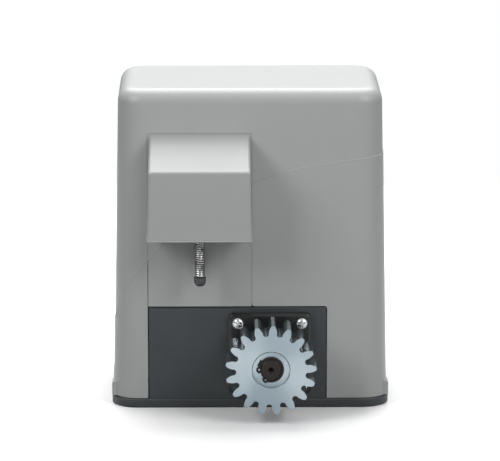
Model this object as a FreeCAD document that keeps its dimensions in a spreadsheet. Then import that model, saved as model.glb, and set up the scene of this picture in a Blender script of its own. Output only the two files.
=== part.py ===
"""Sliding gate motor: worm-gear operator with a lift-off cover, a pinion for the gate's rack
and a spring limit switch.

The origin is the middle of the base's underside, +X is to the right and -Y towards the pinion.
All lengths are millimetres and all angles degrees.
"""
import FreeCAD, Part
import math
import os
import re

import Sketcher

from FreeCAD import Placement, Rotation, Vector

DOC = FreeCAD.newDocument("SlidingGateMotor")
SHEET = DOC.addObject("Spreadsheet::Sheet", "Sizes")

# alias, value, what it is
SIZES = [
    # base
    ("plinth_w", 236, "plinth width along X"),
    ("plinth_d", 152, "plinth depth along Y"),
    ("plinth_t", 8, "plinth thickness"),
    ("plinth_edge", 1.5, "rounding of the plinth's upper and lower edges"),
    ("recess_depth", 3, "depth of the recesses in the base's underside"),
    ("recess_rim", 14, "width of the rim and the ribs round those recesses"),
    ("slot_in_x", 32, "mounting slot centre inside the plinth's edge, along X"),
    ("slot_in_y", 18, "mounting slot centre inside the plinth's edge, along Y"),
    ("slot_len", 24, "mounting slot end to end"),
    ("slot_wide", 9, "mounting slot width"),
    ("jack_in_x", 14, "levelling screw inside the plinth's edge, along X"),
    ("jack_in_y", 40, "levelling screw inside the plinth's edge, along Y"),
    ("jack_dia", 8, "levelling screw diameter"),
    ("jack_len", 20, "levelling screw length"),
    ("face_back", 1, "front and rear walls stand this far behind the plinth's edge"),
    ("face_wall", 6, "thickness of the base's front and rear walls"),
    ("face_bevel", 0.8, "bevel round the walls' outer edges"),
    # cover
    ("cover_gap", 0.3, "cover's lower edge above the plinth"),
    ("cover_inset", 1.3, "cover's lower edge inside the plinth's edge"),
    ("cover_top", 273, "top of the cover above the floor"),
    ("cover_draft", 1.05, "draft of the cover's sides"),
    ("cover_wall", 3, "cover wall thickness"),
    ("corner_rad", 22, "rounding of the cover's upright corners"),
    ("crown_rad", 12, "rounding of the cover's top edges"),
    ("crease_step", 0.5, "lower zone of the cover stands this far proud"),
    ("crease_left", 66, "crease height at the left side"),
    ("crease_mid", 168, "crease height behind the hood"),
    ("crease_right", 217, "crease height at the right side"),
    ("open_in_left", 31, "front cut-out's left edge inside the plinth's edge"),
    ("open_in_right", 53, "front cut-out's right edge inside the plinth's edge"),
    ("open_top", 88, "front cut-out, top edge above the floor"),
    ("open_gap", 0.8, "gap between the cut-out and the base's wall"),
    ("open_round", 2, "rounding of the cut-out's corners"),
    ("rib_t", 2, "cover rib thickness"),
    ("rib_depth", 5, "cover rib depth"),
    # cover fixings
    ("boss_proud", 1.35, "fixing bosses stand this far out of the cover's lower edge"),
    ("boss_inward", 3, "fixing bosses reach this far inside the cover's wall"),
    ("boss_tall", 12, "fixing boss height"),
    ("boss_front_y", -56, "front fixing screw along Y"),
    ("boss_rear_y", 18, "rear fixing screw along Y"),
    ("boss_front_len", 16, "front fixing boss length"),
    ("boss_rear_len", 46, "rear fixing boss length"),
    ("side_screw_dia", 5, "cover fixing screw diameter"),
    ("side_head_dia", 8.5, "cover fixing screw head diameter"),
    ("side_head_t", 2.6, "cover fixing screw head height"),
    ("side_screw_z", 14, "cover fixing screw height above the floor"),
    ("lug_t", 8, "thickness of the lug that holds a fixing screw"),
    ("lug_wide", 12, "width of that lug"),
    # output shaft and pinion
    ("shaft_in", 101.5, "output shaft axis inside the plinth's right edge"),
    ("shaft_z", 48, "output shaft axis above the floor"),
    ("shaft_dia", 20, "output shaft diameter"),
    ("seat_dia", 18, "shaft diameter in the pinion"),
    ("tail_dia", 15, "shaft diameter in the rear bearing"),
    ("pinion_module", 4, "pinion module, for a standard gate rack"),
    ("pinion_teeth", 17, "pinion teeth"),
    ("pinion_wide", 34, "pinion face width"),
    ("pinion_front", 138, "pinion's front face ahead of the middle"),
    ("pinion_turn", 87.3, "angle of the first tooth"),
    ("pinion_sink_dia", 31, "recess in the pinion's face, diameter"),
    ("pinion_sink", 4, "recess in the pinion's face, depth"),
    ("sink_bevel", 0.6, "bevel round the mouth of that recess"),
    ("key_wide", 6, "key width and height"),
    ("key_len", 26, "key length"),
    ("key_turn", 150, "angle of the key seen from the pinion's side"),
    ("clip_t", 1.2, "circlip thickness"),
    ("clip_turn", 212, "angle of the circlip's opening"),
    ("fit", 0.05, "radial clearance of a running fit"),
    # flange, seal and bearings
    ("flange_side", 70, "bearing flange side"),
    ("flange_t", 6, "bearing flange thickness"),
    ("flange_bevel", 2.2, "bevel round the flange"),
    ("flange_round", 5, "rounding of the flange's corners"),
    ("flange_pitch", 54, "flange screw spacing"),
    ("flange_screw_dia", 5, "flange screw diameter"),
    ("flange_head_dia", 9.2, "flange screw head diameter"),
    ("flange_head_t", 2.8, "flange screw head height"),
    ("seal_dia", 35, "oil seal outer diameter"),
    ("front_brg_dia", 42, "front bearing outer diameter"),
    ("front_brg_t", 12, "front bearing width"),
    ("rear_brg_dia", 35, "rear and worm bearing outer diameter"),
    ("rear_brg_t", 11, "rear and worm bearing width"),
    ("small_brg_dia", 26, "small bearing outer diameter"),
    ("small_brg_t", 8, "small bearing width"),
    ("small_brg_bore", 10, "small bearing bore"),
    # worm gear and gear case
    ("wheel_module", 2, "worm wheel module"),
    ("wheel_teeth", 30, "worm wheel teeth"),
    ("wheel_wide", 16, "worm wheel face width"),
    ("wheel_y", -17, "worm wheel's middle plane along Y"),
    ("worm_rad", 10, "worm pitch radius"),
    ("worm_turns", 6, "turns of the worm's thread"),
    ("backlash", 0.45, "clearance of the worm's thread at each flank"),
    ("case_wall", 6, "gear case wall"),
    ("case_top", 86, "gear case joint above the floor"),
    ("case_clear", 3, "clearance round the wheel and worm"),
    ("gasket_t", 0.8, "gear case gasket"),
    ("lid_t", 6.2, "gear case lid plate"),
    ("lid_screw_dia", 5, "gear case screw diameter"),
    ("lid_head_dia", 8.5, "gear case screw head diameter"),
    ("lid_head_t", 4, "gear case screw head height"),
    ("column_dia", 14, "gear case screw column diameter"),
    # release clutch
    ("dog_dia", 44, "clutch ring diameter"),
    ("dog_ring_t", 7, "clutch ring thickness"),
    ("dog_reach", 4, "clutch teeth length and clutch travel"),
    ("rod_dia", 7.8, "release rod diameter"),
    ("pin_dia", 4, "clutch cross pin diameter"),
    ("knob_dia", 46, "release knob diameter"),
    ("knob_t", 8, "release knob plate thickness"),
    ("grip_tall", 7, "release knob grip height"),
    ("niche_w", 76, "release recess width"),
    ("niche_tall", 62, "release recess height"),
    ("niche_deep", 17, "release recess depth"),
    ("back_half", 45, "rear wall half width"),
    ("lock_dia", 14, "release lock barrel diameter"),
    # motor
    ("motor_dia", 92, "motor diameter"),
    ("bell_low", 24, "lower bell height"),
    ("stack_tall", 68, "stator stack height"),
    ("bell_high", 28, "upper bell height"),
    ("bell_wall", 4, "bell wall"),
    ("stator_bore", 54, "stator bore"),
    ("air_gap", 0.5, "air gap between rotor and stator"),
    ("tie_pitch", 82, "tie bolt circle"),
    ("tie_dia", 5, "tie bolt diameter"),
    ("tie_head_dia", 8.5, "tie bolt head diameter"),
    ("tie_head_t", 3.5, "tie bolt head height"),
    ("coil_reach", 15, "windings past each end of the stator stack"),
    ("worm_shaft_dia", 15, "rotor shaft diameter"),
    # hood and limit switch
    ("hood_w", 87.4, "hood width at its lower edge"),
    ("hood_bottom", 153, "hood's lower edge above the floor"),
    ("hood_ridge", 211.5, "ridge between the hood's roof and front"),
    ("hood_top", 235.8, "top of the hood's roof"),
    ("hood_reach", 116, "hood's front face ahead of the middle"),
    ("hood_wall", 2.5, "hood wall"),
    ("hood_round", 2.5, "rounding of the hood's edges"),
    ("hood_draft", 1.1, "draft of the hood's sides"),
    ("panel_gap", 0.5, "gap between the panel and the cover"),
    ("limit_in", 44.4, "limit lever right of the hood's left edge"),
    ("limit_z", 168, "limit lever pivot above the floor"),
    ("limit_back", 18, "limit spring behind the hood's front face"),
    ("spring_dia", 8.7, "limit spring outer diameter"),
    ("spring_end", 119, "limit spring's lower end above the floor"),
    ("tip_dia", 10, "limit tip diameter"),
    ("tip_len", 8, "limit tip length"),
    ("pivot_dia", 6, "limit pivot shaft diameter"),
    ("rocker_len", 16, "rocker arm length"),
    ("plate_t", 2, "switch plate thickness"),
    ("plate_y", -54, "switch plate's front face along Y"),
    ("switch_t", 10.3, "microswitch thickness"),
    ("switch_w", 15.9, "microswitch width"),
    ("switch_tall", 27.8, "microswitch height"),
    ("switch_off", 12, "microswitch body from the lever's middle"),
    ("hood_lug_t", 4, "thickness of the hood's fixing lugs"),
    ("hood_lug_z", 76, "hood fixing screw above the floor"),
    ("small_screw_dia", 4, "diameter of the screws that hold the fittings"),
    ("small_head_dia", 7, "head diameter of those screws"),
    ("small_head_t", 2.4, "head height of those screws"),
    ("tiny_screw_dia", 3, "diameter of the switch and board screws"),
    ("tiny_head_dia", 5.5, "head diameter of those screws"),
    ("tiny_head_t", 2, "head height of those screws"),
    ("blade_t", 0.6, "microswitch lever thickness"),
    ("blade_len", 22, "microswitch lever length"),
    ("button_travel", 0.5, "travel of the programming button"),
    ("bracket_t", 1.5, "thickness of the sheet brackets"),
    # electrics
    ("carrier_y", 36, "board carrier's front face along Y"),
    ("carrier_t", 3, "board carrier thickness"),
    ("carrier_low", 62, "board carrier's lower edge"),
    ("carrier_tall", 134, "board carrier height without its legs"),
    ("carrier_in", 18, "board carrier's ends inside the plinth's edges"),
    ("carrier_foot", 12, "board carrier foot width"),
    ("standoff", 4, "board standoff"),
    ("board_w", 150, "circuit board width"),
    ("board_tall", 104, "circuit board height"),
    ("board_t", 1.6, "circuit board thickness"),
    ("board_z", 129, "circuit board's middle above the floor"),
    ("corner_hole", 6, "board screws inside the board's edges"),
    ("terminal_w", 42, "terminal block width"),
    ("terminal_deep", 11, "terminal block depth off the board"),
    ("terminal_tall", 12, "terminal block height"),
    ("terminal_pitch", 46, "terminal block spacing"),
    ("terminal_z", 34, "terminal blocks below the board's middle"),
    ("wire_pitch", 5, "spacing of the wire mouths in a terminal block"),
    ("relay_w", 16, "relay width and depth off the board"),
    ("relay_tall", 22, "relay height"),
    ("relay_pitch", 20, "relay spacing"),
    ("relay_x", 36, "middle relay left of the board's middle"),
    ("relay_z", 24, "relays above the board's middle"),
    ("can_dia", 10, "board capacitor diameter"),
    ("can_tall", 14, "board capacitor length"),
    ("can_pitch", 14, "board capacitor spacing"),
    ("can_x", 2, "board capacitors left of the board's middle"),
    ("can_z", 30, "upper board capacitors above the board's middle"),
    ("fuse_dia", 5.2, "fuse diameter"),
    ("fuse_len", 22, "fuse length"),
    ("fuse_x", 41, "fuse left of the board's middle"),
    ("clip_side", 7, "fuse clip height and depth off the board"),
    ("low_row", 8, "fuse and button below the board's middle"),
    ("sink_w", 40, "heat sink width"),
    ("sink_tall", 24, "heat sink height"),
    ("sink_base", 3, "heat sink plate thickness"),
    ("sink_x", 45, "heat sink right of the board's middle"),
    ("sink_z", 30, "heat sink above the board's middle"),
    ("fin_deep", 13, "heat sink fin depth"),
    ("fin_t", 2, "heat sink fin thickness"),
    ("fin_pitch", 6, "heat sink fin spacing"),
    ("card_w", 34, "receiver card width"),
    ("card_tall", 20, "receiver card height"),
    ("card_t", 1.2, "receiver card thickness"),
    ("card_x", 50, "receiver card right of the board's middle"),
    ("card_z", 6, "receiver card below the board's middle"),
    ("card_off", 6, "receiver card off the board"),
    ("press_side", 7, "programming button's case width and height"),
    ("press_deep", 4, "programming button's case depth"),
    ("press_x", 8, "programming button right of the board's middle"),
    ("press_dia", 3.5, "programming button diameter"),
    ("cap_dia", 34, "motor capacitor diameter"),
    ("cap_tall", 72, "motor capacitor height"),
    ("cap_off", 15.85, "motor capacitor right of the middle of its bay"),
    ("cap_y", 13, "motor capacitor along Y"),
    ("tx_off", 1.85, "transformer right of the middle of its bay"),
    ("tx_y", -29, "transformer along Y"),
    ("tx_w", 56, "transformer width"),
    ("tx_d", 36, "transformer stack depth"),
    ("tx_tall", 48, "transformer height"),
    ("entry_off", 9.85, "cable entry right of the middle of that bay"),
    ("entry_y", 54, "cable entry along Y"),
    ("entry_dia", 26, "cable entry hole in the base"),
    ("entry_bore", 13, "cable entry bore of the grommet"),
]


def fill_sheet():
    """Writes the driving dimensions into the spreadsheet, one row each."""
    for row, (alias, value, note) in enumerate(SIZES, start=1):
        SHEET.set(f"A{row}", note)
        SHEET.set(f"B{row}", str(value))
        SHEET.setAlias(f"B{row}", alias)
    DOC.recompute()


ALIASES = {alias for alias, _, _ in SIZES}

# places that follow from the sizes, so that what sits by an edge stays by it
PLACES = {
    "slot_x": "(plinth_w / 2 - slot_in_x)",
    "slot_y": "(plinth_d / 2 - slot_in_y)",
    "jack_x": "(plinth_w / 2 - jack_in_x)",
    "jack_y": "(plinth_d / 2 - jack_in_y)",
    "open_left": "(plinth_w / 2 - open_in_left)",
    "open_right": "(plinth_w / 2 - open_in_right)",
    "shaft_x": "(plinth_w / 2 - shaft_in)",
    "limit_x": "(limit_in - open_left)",
    "limit_y": "(limit_back - hood_reach)",
    "carrier_half": "(plinth_w / 2 - carrier_in)",
    "case_left": "(shaft_x - wheel_module * (wheel_teeth / 2 + 1) - case_clear - case_wall)",
    "cover_inside": "(plinth_w / 2 - cover_inset - crease_step - cover_wall)",
    "bay_x": "((case_left + 1 - column_dia / 2 - cover_inside) / 2)",
    "tx_x": "(bay_x + tx_off)",
    "cap_x": "(bay_x + cap_off)",
    "entry_x": "(bay_x + entry_off)",
}


def expression(text):
    """The expression in terms of the sheet: each place written out, each alias a reference."""
    def written_out(match):
        word = match.group(0)
        if word in PLACES:
            return expression(PLACES[word])
        return f"Sizes.{word}" if word in ALIASES else word
    return re.sub(r"[a-z_][a-z_0-9]*", written_out, text)


def value(text):
    """The number that an expression of aliases gives."""
    return float(SHEET.evalExpression(expression(text)))


def bind(thing, **sizes):
    """Binds properties of an object to expressions."""
    for name, text in sizes.items():
        thing.setExpression(name, expression(text))
    return thing


def place(thing, x="0", y="0", z="0", turn=None):
    """Puts an object where the expressions say, turned by a fixed rotation."""
    if turn:
        thing.Placement = Placement(Vector(), turn)
    for axis, text in zip("xyz", (x, y, z)):
        thing.setExpression(f"Placement.Base.{axis}", expression(text))
    return thing


NODES = []


def node(thing, label):
    """Names a finished sub-part and puts it on the list to export."""
    thing.Label = label
    NODES.append(thing)
    return thing


# ---- primitives and booleans -------------------------------------------------

ALONG = {
    "+Z": Rotation(),
    "-Z": Rotation(Vector(1, 0, 0), 180),
    "+Y": Rotation(Vector(1, 0, 0), -90),
    "-Y": Rotation(Vector(1, 0, 0), 90),
    "+X": Rotation(Vector(0, 1, 0), 90),
    "-X": Rotation(Vector(0, 1, 0), -90),
}


def block(name, low, size):
    """A box from its low corner and its size, both triples of expressions."""
    box = DOC.addObject("Part::Box", name)
    bind(box, Length=size[0], Width=size[1], Height=size[2])
    return place(box, *low)


def middle_block(name, middle, size, low_z):
    """A box centred on middle in X and Y, that stands on low_z."""
    low = (f"({middle[0]}) - ({size[0]}) / 2", f"({middle[1]}) - ({size[1]}) / 2", low_z)
    return block(name, low, size)


def rod(name, radius, length, at, along="+Z"):
    """A cylinder that starts at a point and runs along an axis."""
    cylinder = DOC.addObject("Part::Cylinder", name)
    bind(cylinder, Radius=radius, Height=length)
    return place(cylinder, *at, turn=ALONG[along])


def fuse(name, *things):
    """One shape of several."""
    joined = DOC.addObject("Part::MultiFuse", name)
    joined.Shapes = list(things)
    joined.Refine = True
    return joined


def cut(name, base, *tools):
    """The base less the tools."""
    result = DOC.addObject("Part::Cut", name)
    result.Base = base
    result.Tool = tools[0] if len(tools) == 1 else fuse(name + "Tools", *tools)
    result.Refine = True
    return result


def common(name, one, other):
    """What two shapes share."""
    result = DOC.addObject("Part::MultiCommon", name)
    result.Shapes = [one, other]
    return result


def soften(name, base, radius, test, chamfer=False):
    """Fillets or chamfers the edges of a shape that pass a test."""
    DOC.recompute()
    size = value(radius)
    result = DOC.addObject("Part::Chamfer" if chamfer else "Part::Fillet", name)
    result.Base = base
    result.Edges = [(i, size, size) for i, edge in enumerate(base.Shape.Edges, start=1) if test(edge)]
    return result


# ---- sketched bodies ---------------------------------------------------------

def new_body(name):
    """An empty PartDesign body."""
    return DOC.addObject("PartDesign::Body", name)


def sketch(body, name, plane, offset="0"):
    """A sketch on one of the body's origin planes, moved along its normal."""
    drawing = body.newObject("Sketcher::SketchObject", name)
    support = [feature for feature in body.Origin.OriginFeatures if feature.Role == plane]
    drawing.AttachmentSupport = [(support[0], "")]
    drawing.MapMode = "FlatFace"
    drawing.setExpression("AttachmentOffset.Base.z", expression(offset))
    return drawing


def hold_point(drawing, geometry, corner, x, y):
    """Ties one point of a sketch to two expressions, measured from the sketch's origin."""
    for kind, text in (("DistanceX", x), ("DistanceY", y)):
        index = drawing.addConstraint(Sketcher.Constraint(kind, geometry, corner, value(text)))
        drawing.setExpression(f"Constraints[{index}]", expression(text))


def outline(drawing, points):
    """A closed outline of straight lines through points given as pairs of expressions."""
    spots = [Vector(value(x), value(y), 0) for x, y in points]
    first = drawing.GeometryCount
    count = len(points)
    for i in range(count):
        drawing.addGeometry(Part.LineSegment(spots[i], spots[(i + 1) % count]), False)
    for i in range(count):
        following = first + (i + 1) % count
        drawing.addConstraint(Sketcher.Constraint("Coincident", first + i, 2, following, 1))
    for i, (x, y) in enumerate(points):
        hold_point(drawing, first + i, 1, x, y)


def rectangle(drawing, low_x, low_y, high_x, high_y):
    """A rectangle between two corners."""
    outline(drawing, [(low_x, low_y), (high_x, low_y), (high_x, high_y), (low_x, high_y)])


def pad(body, drawing, length, taper=None, reverse=False):
    """Pads a sketch."""
    feature = body.newObject("PartDesign::Pad", drawing.Name + "Pad")
    feature.Profile = drawing
    feature.Reversed = reverse
    bind(feature, Length=length)
    if taper:
        bind(feature, TaperAngle=taper)
    return feature


def dress(body, kind, size, test):
    """Fillets or chamfers the body's edges that pass a test."""
    DOC.recompute()
    base = body.Tip
    edges = [f"Edge{i}" for i, edge in enumerate(base.Shape.Edges, start=1) if test(edge)]
    feature = body.newObject(f"PartDesign::{kind}", f"{body.Name}{kind}")
    feature.Base = (base, edges)
    if kind == "Fillet":
        bind(feature, Radius=size)
    else:
        bind(feature, Size=size)
    return feature


def turned(name, plane, points, at=("0", "0", "0")):
    """A body turned from (radius, length) points about the sketch's upright axis.

    On XZ_Plane the axis is Z, on XY_Plane it is Y.
    """
    body = new_body(name)
    drawing = sketch(body, name + "Profile", plane)
    outline(drawing, points)
    feature = body.newObject("PartDesign::Revolution", name + "Turn")
    feature.Profile = drawing
    feature.ReferenceAxis = (drawing, ["V_Axis"])
    feature.Angle = 360
    return place(body, *at)


def spans(axis, size):
    """A test for edges whose ends lie further apart than size along one axis."""
    def test(edge):
        ends = [getattr(vertex.Point, axis) for vertex in edge.Vertexes]
        return max(ends) - min(ends) > size
    return test


def lies_at(axis, height, slack=0.01):
    """A test for edges that lie wholly at one coordinate."""
    def test(edge):
        box = edge.BoundBox
        low = getattr(box, f"{axis.upper()}Min")
        high = getattr(box, f"{axis.upper()}Max")
        return abs(low - height) < slack and abs(high - height) < slack
    return test


fill_sheet()


# ---- places that several pieces share ----------------------------------------

COVER_LOW = "(plinth_t + cover_gap)"
COVER_HALF_W = "(plinth_w / 2 - cover_inset)"
COVER_HALF_D = "(plinth_d / 2 - cover_inset)"
FRONT_FACE = "(-(plinth_d / 2) + face_back)"
BACK_FACE = "(plinth_d / 2 - face_back)"
FLANGE_FACE = f"({FRONT_FACE} - flange_t)"
PINION_BACK = "(-pinion_front + pinion_wide)"
WALL_INNER = f"({FRONT_FACE} + face_wall)"
WHEEL_PITCH = "(wheel_module * wheel_teeth / 2)"
WHEEL_TIP = f"({WHEEL_PITCH} + wheel_module)"
WORM_X = f"(shaft_x + {WHEEL_PITCH} + worm_rad)"
WORM_TIP = "(worm_rad + wheel_module)"
WHEEL_FRONT = "(wheel_y - wheel_wide / 2 - 1)"
WHEEL_BACK = "(wheel_y + wheel_wide / 2 + 1)"
DOG_BACK = f"({WHEEL_FRONT} - 2)"
DOG_FRONT = f"({DOG_BACK} - dog_ring_t)"
CASE_IN_FRONT = f"({DOG_FRONT} - dog_reach - case_clear)"
CASE_IN_BACK = f"({WHEEL_BACK} + case_clear + 7)"
CASE_FRONT = f"({CASE_IN_FRONT} - case_wall)"
CASE_BACK = f"({CASE_IN_BACK} + case_wall)"
WHEEL_ROOM = f"({WHEEL_TIP} + case_clear)"
WORM_ROOM = f"({WORM_TIP} + case_clear)"
CASE_LEFT = "case_left"
CASE_RIGHT = f"({WORM_X} + {WORM_ROOM} + case_wall)"
TAIL_BRG = f"({CASE_IN_BACK} + 4)"
TAIL_END = f"({TAIL_BRG} + rear_brg_t)"
LID_LOW = "(case_top + gasket_t)"
LID_TOP = f"({LID_LOW} + lid_t)"
MOTOR_LOW = f"({LID_TOP} + 6)"
STACK_LOW = f"({MOTOR_LOW} + bell_low)"
STACK_HIGH = f"({STACK_LOW} + stack_tall)"
MOTOR_HIGH = f"({STACK_HIGH} + bell_high)"
FOOT_BRG_LOW = "(plinth_t + 4)"
BOARD_BACK = "(carrier_y + carrier_t + standoff)"
SIDES = (-1, 1)
CASE_CORNERS = [(f"{CASE_LEFT} + 1", f"{CASE_FRONT} + 1"), (f"{CASE_RIGHT} - 1", f"{CASE_FRONT} + 1"),
                (f"{CASE_LEFT} + 1", f"{CASE_BACK} - 1"), (f"{CASE_RIGHT} - 1", f"{CASE_BACK} - 1")]
FLANGE_SPOTS = [(f"shaft_x + {i} * flange_pitch / 2", FLANGE_FACE, f"shaft_z + {j} * flange_pitch / 2")
                for i in SIDES for j in SIDES]
HOOD_LEFT = "(-open_left + panel_gap)"
HOOD_FACE_TOP = ("(-(plinth_d / 2) + cover_inset + crease_step"
                 " + (hood_top - plinth_t) * tan(cover_draft))")
HOOD_LUGS = ("(14 - open_left)", "(64 - open_left)")
HOOD_SCREW_SPOTS = [(x, f"{WALL_INNER} + hood_lug_t", "hood_lug_z") for x in HOOD_LUGS]
CARRIER_SCREW_SPOTS = [(f"{side} * (carrier_half - carrier_foot / 2)", "carrier_y + carrier_t + 4.5",
                        "plinth_t + carrier_t") for side in SIDES]
TX_SCREW_SPOTS = [("tx_x", f"tx_y + {side} * (tx_d / 2 + bracket_t + small_head_dia / 2 + 0.2)",
                   "plinth_t + 2 + bracket_t") for side in SIDES]
CLAMP_SCREW_SPOTS = [("cap_x - cap_dia / 2 - 5 - small_head_dia / 2", "cap_y", "plinth_t + bracket_t")]


# ---- cover -------------------------------------------------------------------

def drafted_block(name, half_w, half_d, top, corner, crown=None):
    """An upright block with drafted sides, round corners and, with crown, a round top edge."""
    body = new_body(name)
    plan = sketch(body, name + "Plan", "XY_Plane", COVER_LOW)
    rectangle(plan, f"-{half_w}", f"-{half_d}", half_w, half_d)
    pad(body, plan, f"{top} - {COVER_LOW}", taper="-cover_draft")
    dress(body, "Fillet", corner, spans("z", value(f"({top} - {COVER_LOW}) / 2")))
    if crown:
        dress(body, "Fillet", crown, lies_at("z", value(top)))
    return body


def crease_height():
    """The crease on the cover as a curve in the XZ plane, from left to right."""
    left = value(f"-{COVER_HALF_W}")
    right = value(COVER_HALF_W)
    low, mid, high = (value(name) for name in ("crease_left", "crease_mid", "crease_right"))
    shares = ((left, low), (left * 0.88, low + 0.26 * (high - low)),
              (left * 0.65, low + 0.49 * (high - low)),
              (value("limit_x") + 7, mid), (0.03 * right, low + 0.845 * (high - low)),
              (0.29 * right, low + 0.915 * (high - low)), (0.68 * right, low + 0.97 * (high - low)),
              (right, high))
    curve = Part.BSplineCurve()
    curve.interpolate([Vector(x, 0, z) for x, z in shares])
    return curve


def above_crease():
    """Everything above the crease, as a tool that trims the cover's lower zone."""
    reach = value("plinth_d")
    curve = crease_height()
    start, end = curve.StartPoint, curve.EndPoint
    roof = value("cover_top") + reach
    corners = [end, Vector(end.x + reach, 0, end.z), Vector(end.x + reach, 0, roof),
               Vector(start.x - reach, 0, roof), Vector(start.x - reach, 0, start.z), start]
    edges = [curve.toShape()] + [Part.makeLine(a, b) for a, b in zip(corners, corners[1:])]
    face = Part.Face(Part.Wire(edges))
    tool = DOC.addObject("Part::Feature", "AboveCrease")
    tool.Shape = face.extrude(Vector(0, 2 * reach, 0))
    tool.Placement = Placement(Vector(0, -reach, 0), Rotation())
    return tool


def cover_skin():
    """The cover's shell with its crease, before anything is cut into it, and its hollow."""
    upper_w = f"({COVER_HALF_W} - crease_step)"
    upper_d = f"({COVER_HALF_D} - crease_step)"
    upper = drafted_block("CoverUpper", upper_w, upper_d, "cover_top", "corner_rad - crease_step",
                          "crown_rad")
    lower = drafted_block("CoverLower", COVER_HALF_W, COVER_HALF_D, "(crease_right + 4)", "corner_rad")
    hollow = drafted_block("CoverHollow", f"({upper_w} - cover_wall)", f"({upper_d} - cover_wall)",
                           "(cover_top - cover_wall)", "corner_rad - crease_step - cover_wall",
                           "crown_rad - cover_wall")
    outside = fuse("CoverOutside", upper, cut("CoverLowerTrimmed", lower, above_crease()))
    return cut("CoverSkin", outside, hollow), outside


def front_opening():
    """The cut-out round the base's front wall and the slot above it for the hood's panel."""
    body = new_body("FrontOpening")
    shape = sketch(body, "FrontOpeningShape", "XZ_Plane", "0")
    slot_right = "(-open_left + hood_w + 2 * panel_gap)"
    outline(shape, [("-open_left", "-plinth_t"), ("open_right", "-plinth_t"), ("open_right", "open_top"),
                    (slot_right, "open_top"), (slot_right, "hood_top + panel_gap"),
                    ("-open_left", "hood_top + panel_gap")])
    pad(body, shape, "plinth_d")
    low, high = value("plinth_t"), value("hood_top - open_round")
    dress(body, "Fillet", "open_round",
          lambda edge: spans("y", 10)(edge) and low < edge.BoundBox.ZMin < high)
    return body


def cover(skin, outside):
    """The lift-off cover with its cut-outs, fixing bosses, U slots and inner ribs."""
    pads = []
    slots = []
    for side in SIDES:
        for spot, length in (("boss_front_y", "boss_front_len"), ("boss_rear_y", "boss_rear_len")):
            tag = f"{'L' if side < 0 else 'R'}{'F' if 'front' in spot else 'B'}"
            outer = f"({COVER_HALF_W} + boss_proud)"
            inner = f"({COVER_HALF_W} - crease_step - cover_wall - boss_inward)"
            low_x = inner if side > 0 else f"-{outer}"
            boss = block("Boss" + tag, (low_x, f"{spot} - {length} / 2", COVER_LOW),
                         (f"{outer} - {inner}", length, "boss_tall"))
            pads.append(soften("BossRound" + tag, boss, "3", upright_outer_edges(side, value(outer))))
            neck = "(side_screw_dia + 0.6)"
            slots += u_slot("Neck" + tag, side, f"{inner} - 1", f"{outer} - {inner} + 2", spot, neck)
            head_in = f"({outer} - side_head_t - 0.6)"
            slots += u_slot("Head" + tag, side, head_in, "side_head_t + 2", spot, "(side_head_dia + 0.8)")
    ribs = []
    for i, y in enumerate(("-6", "50")):
        for side in SIDES:
            low = f"({COVER_HALF_W} - cover_wall - rib_depth - 5)"
            ribs.append(block(f"SideRib{i}{side + 1}",
                              (low if side > 0 else f"-{low} - 20", y, "plinth_t + 24"),
                              ("20", "rib_t", "cover_top - plinth_t - 40")))
    for i, x in enumerate(("-60", "-20", "20", "60")):
        ribs.append(block(f"BackRib{i}",
                          (x, f"{COVER_HALF_D} - cover_wall - rib_depth - 5", "open_top + 12"),
                          ("rib_t", "20", "cover_top - open_top - 30")))
    inside = common("CoverRibs", fuse("RibBlocks", *ribs), outside)
    back = block("BackOpening", ("shaft_x - back_half - open_gap", "0", "0"),
                 ("2 * (back_half + open_gap)", "plinth_d", "open_top"))
    back_round = soften("BackOpeningRound", back, "open_round",
                        lambda edge: spans("y", 10)(edge) and edge.BoundBox.ZMin > 10)
    shell = fuse("CoverShell", skin, inside, *pads)
    return node(cut("Cover", shell, front_opening(), back_round, *slots), "cover")


def upright_outer_edges(side, outer):
    """A test for the edges round the outer face of a fixing boss, the lower one left out."""
    def test(edge):
        box = edge.BoundBox
        on_face = abs(box.XMin - side * outer) < 0.01 and abs(box.XMax - side * outer) < 0.01
        low = value(COVER_LOW)
        return on_face and not (abs(box.ZMax - low) < 0.01)
    return test


def u_slot(name, side, start, length, y, width):
    """A slot open downwards for a fixing screw: a round end on the screw and a straight way down."""
    low_x = start if side > 0 else f"-({start}) - ({length})"
    end = rod(name + "Round", f"{width} / 2", length, (low_x, y, "side_screw_z"), "+X")
    way = block(name + "Way", (low_x, f"{y} - {width} / 2", "0"), (length, width, "side_screw_z"))
    return [end, way]


# ---- base --------------------------------------------------------------------

def plinth():
    """The plinth: a plate with round corners and edges."""
    body = new_body("Plinth")
    plan = sketch(body, "PlinthPlan", "XY_Plane")
    rectangle(plan, "-plinth_w / 2", "-plinth_d / 2", "plinth_w / 2", "plinth_d / 2")
    pad(body, plan, "plinth_t")
    dress(body, "Fillet", "corner_rad + cover_inset", spans("z", 1))
    dress(body, "Fillet", "plinth_edge", lambda edge: not spans("z", 1)(edge))
    return body


def face_wall(name, left, right, front):
    """A wall of the base that fills a cut-out of the cover, bevelled round its outer face."""
    low_y = FRONT_FACE if front else f"({BACK_FACE} - face_wall)"
    outer = value(FRONT_FACE if front else BACK_FACE)
    slab = block(name, (left, low_y, "plinth_t - 1"),
                 (f"({right}) - ({left})", "face_wall", "open_top - open_gap - plinth_t + 1"))
    corners = soften(name + "Corners", slab, "open_round - open_gap",
                     lambda edge: spans("y", 1)(edge) and edge.BoundBox.ZMin > 20)
    foot = value("plinth_t")
    return soften(name + "Bevel", corners, "face_bevel",
                  lambda edge: lies_at("y", outer)(edge) and edge.BoundBox.ZMax > foot, chamfer=True)


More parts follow.
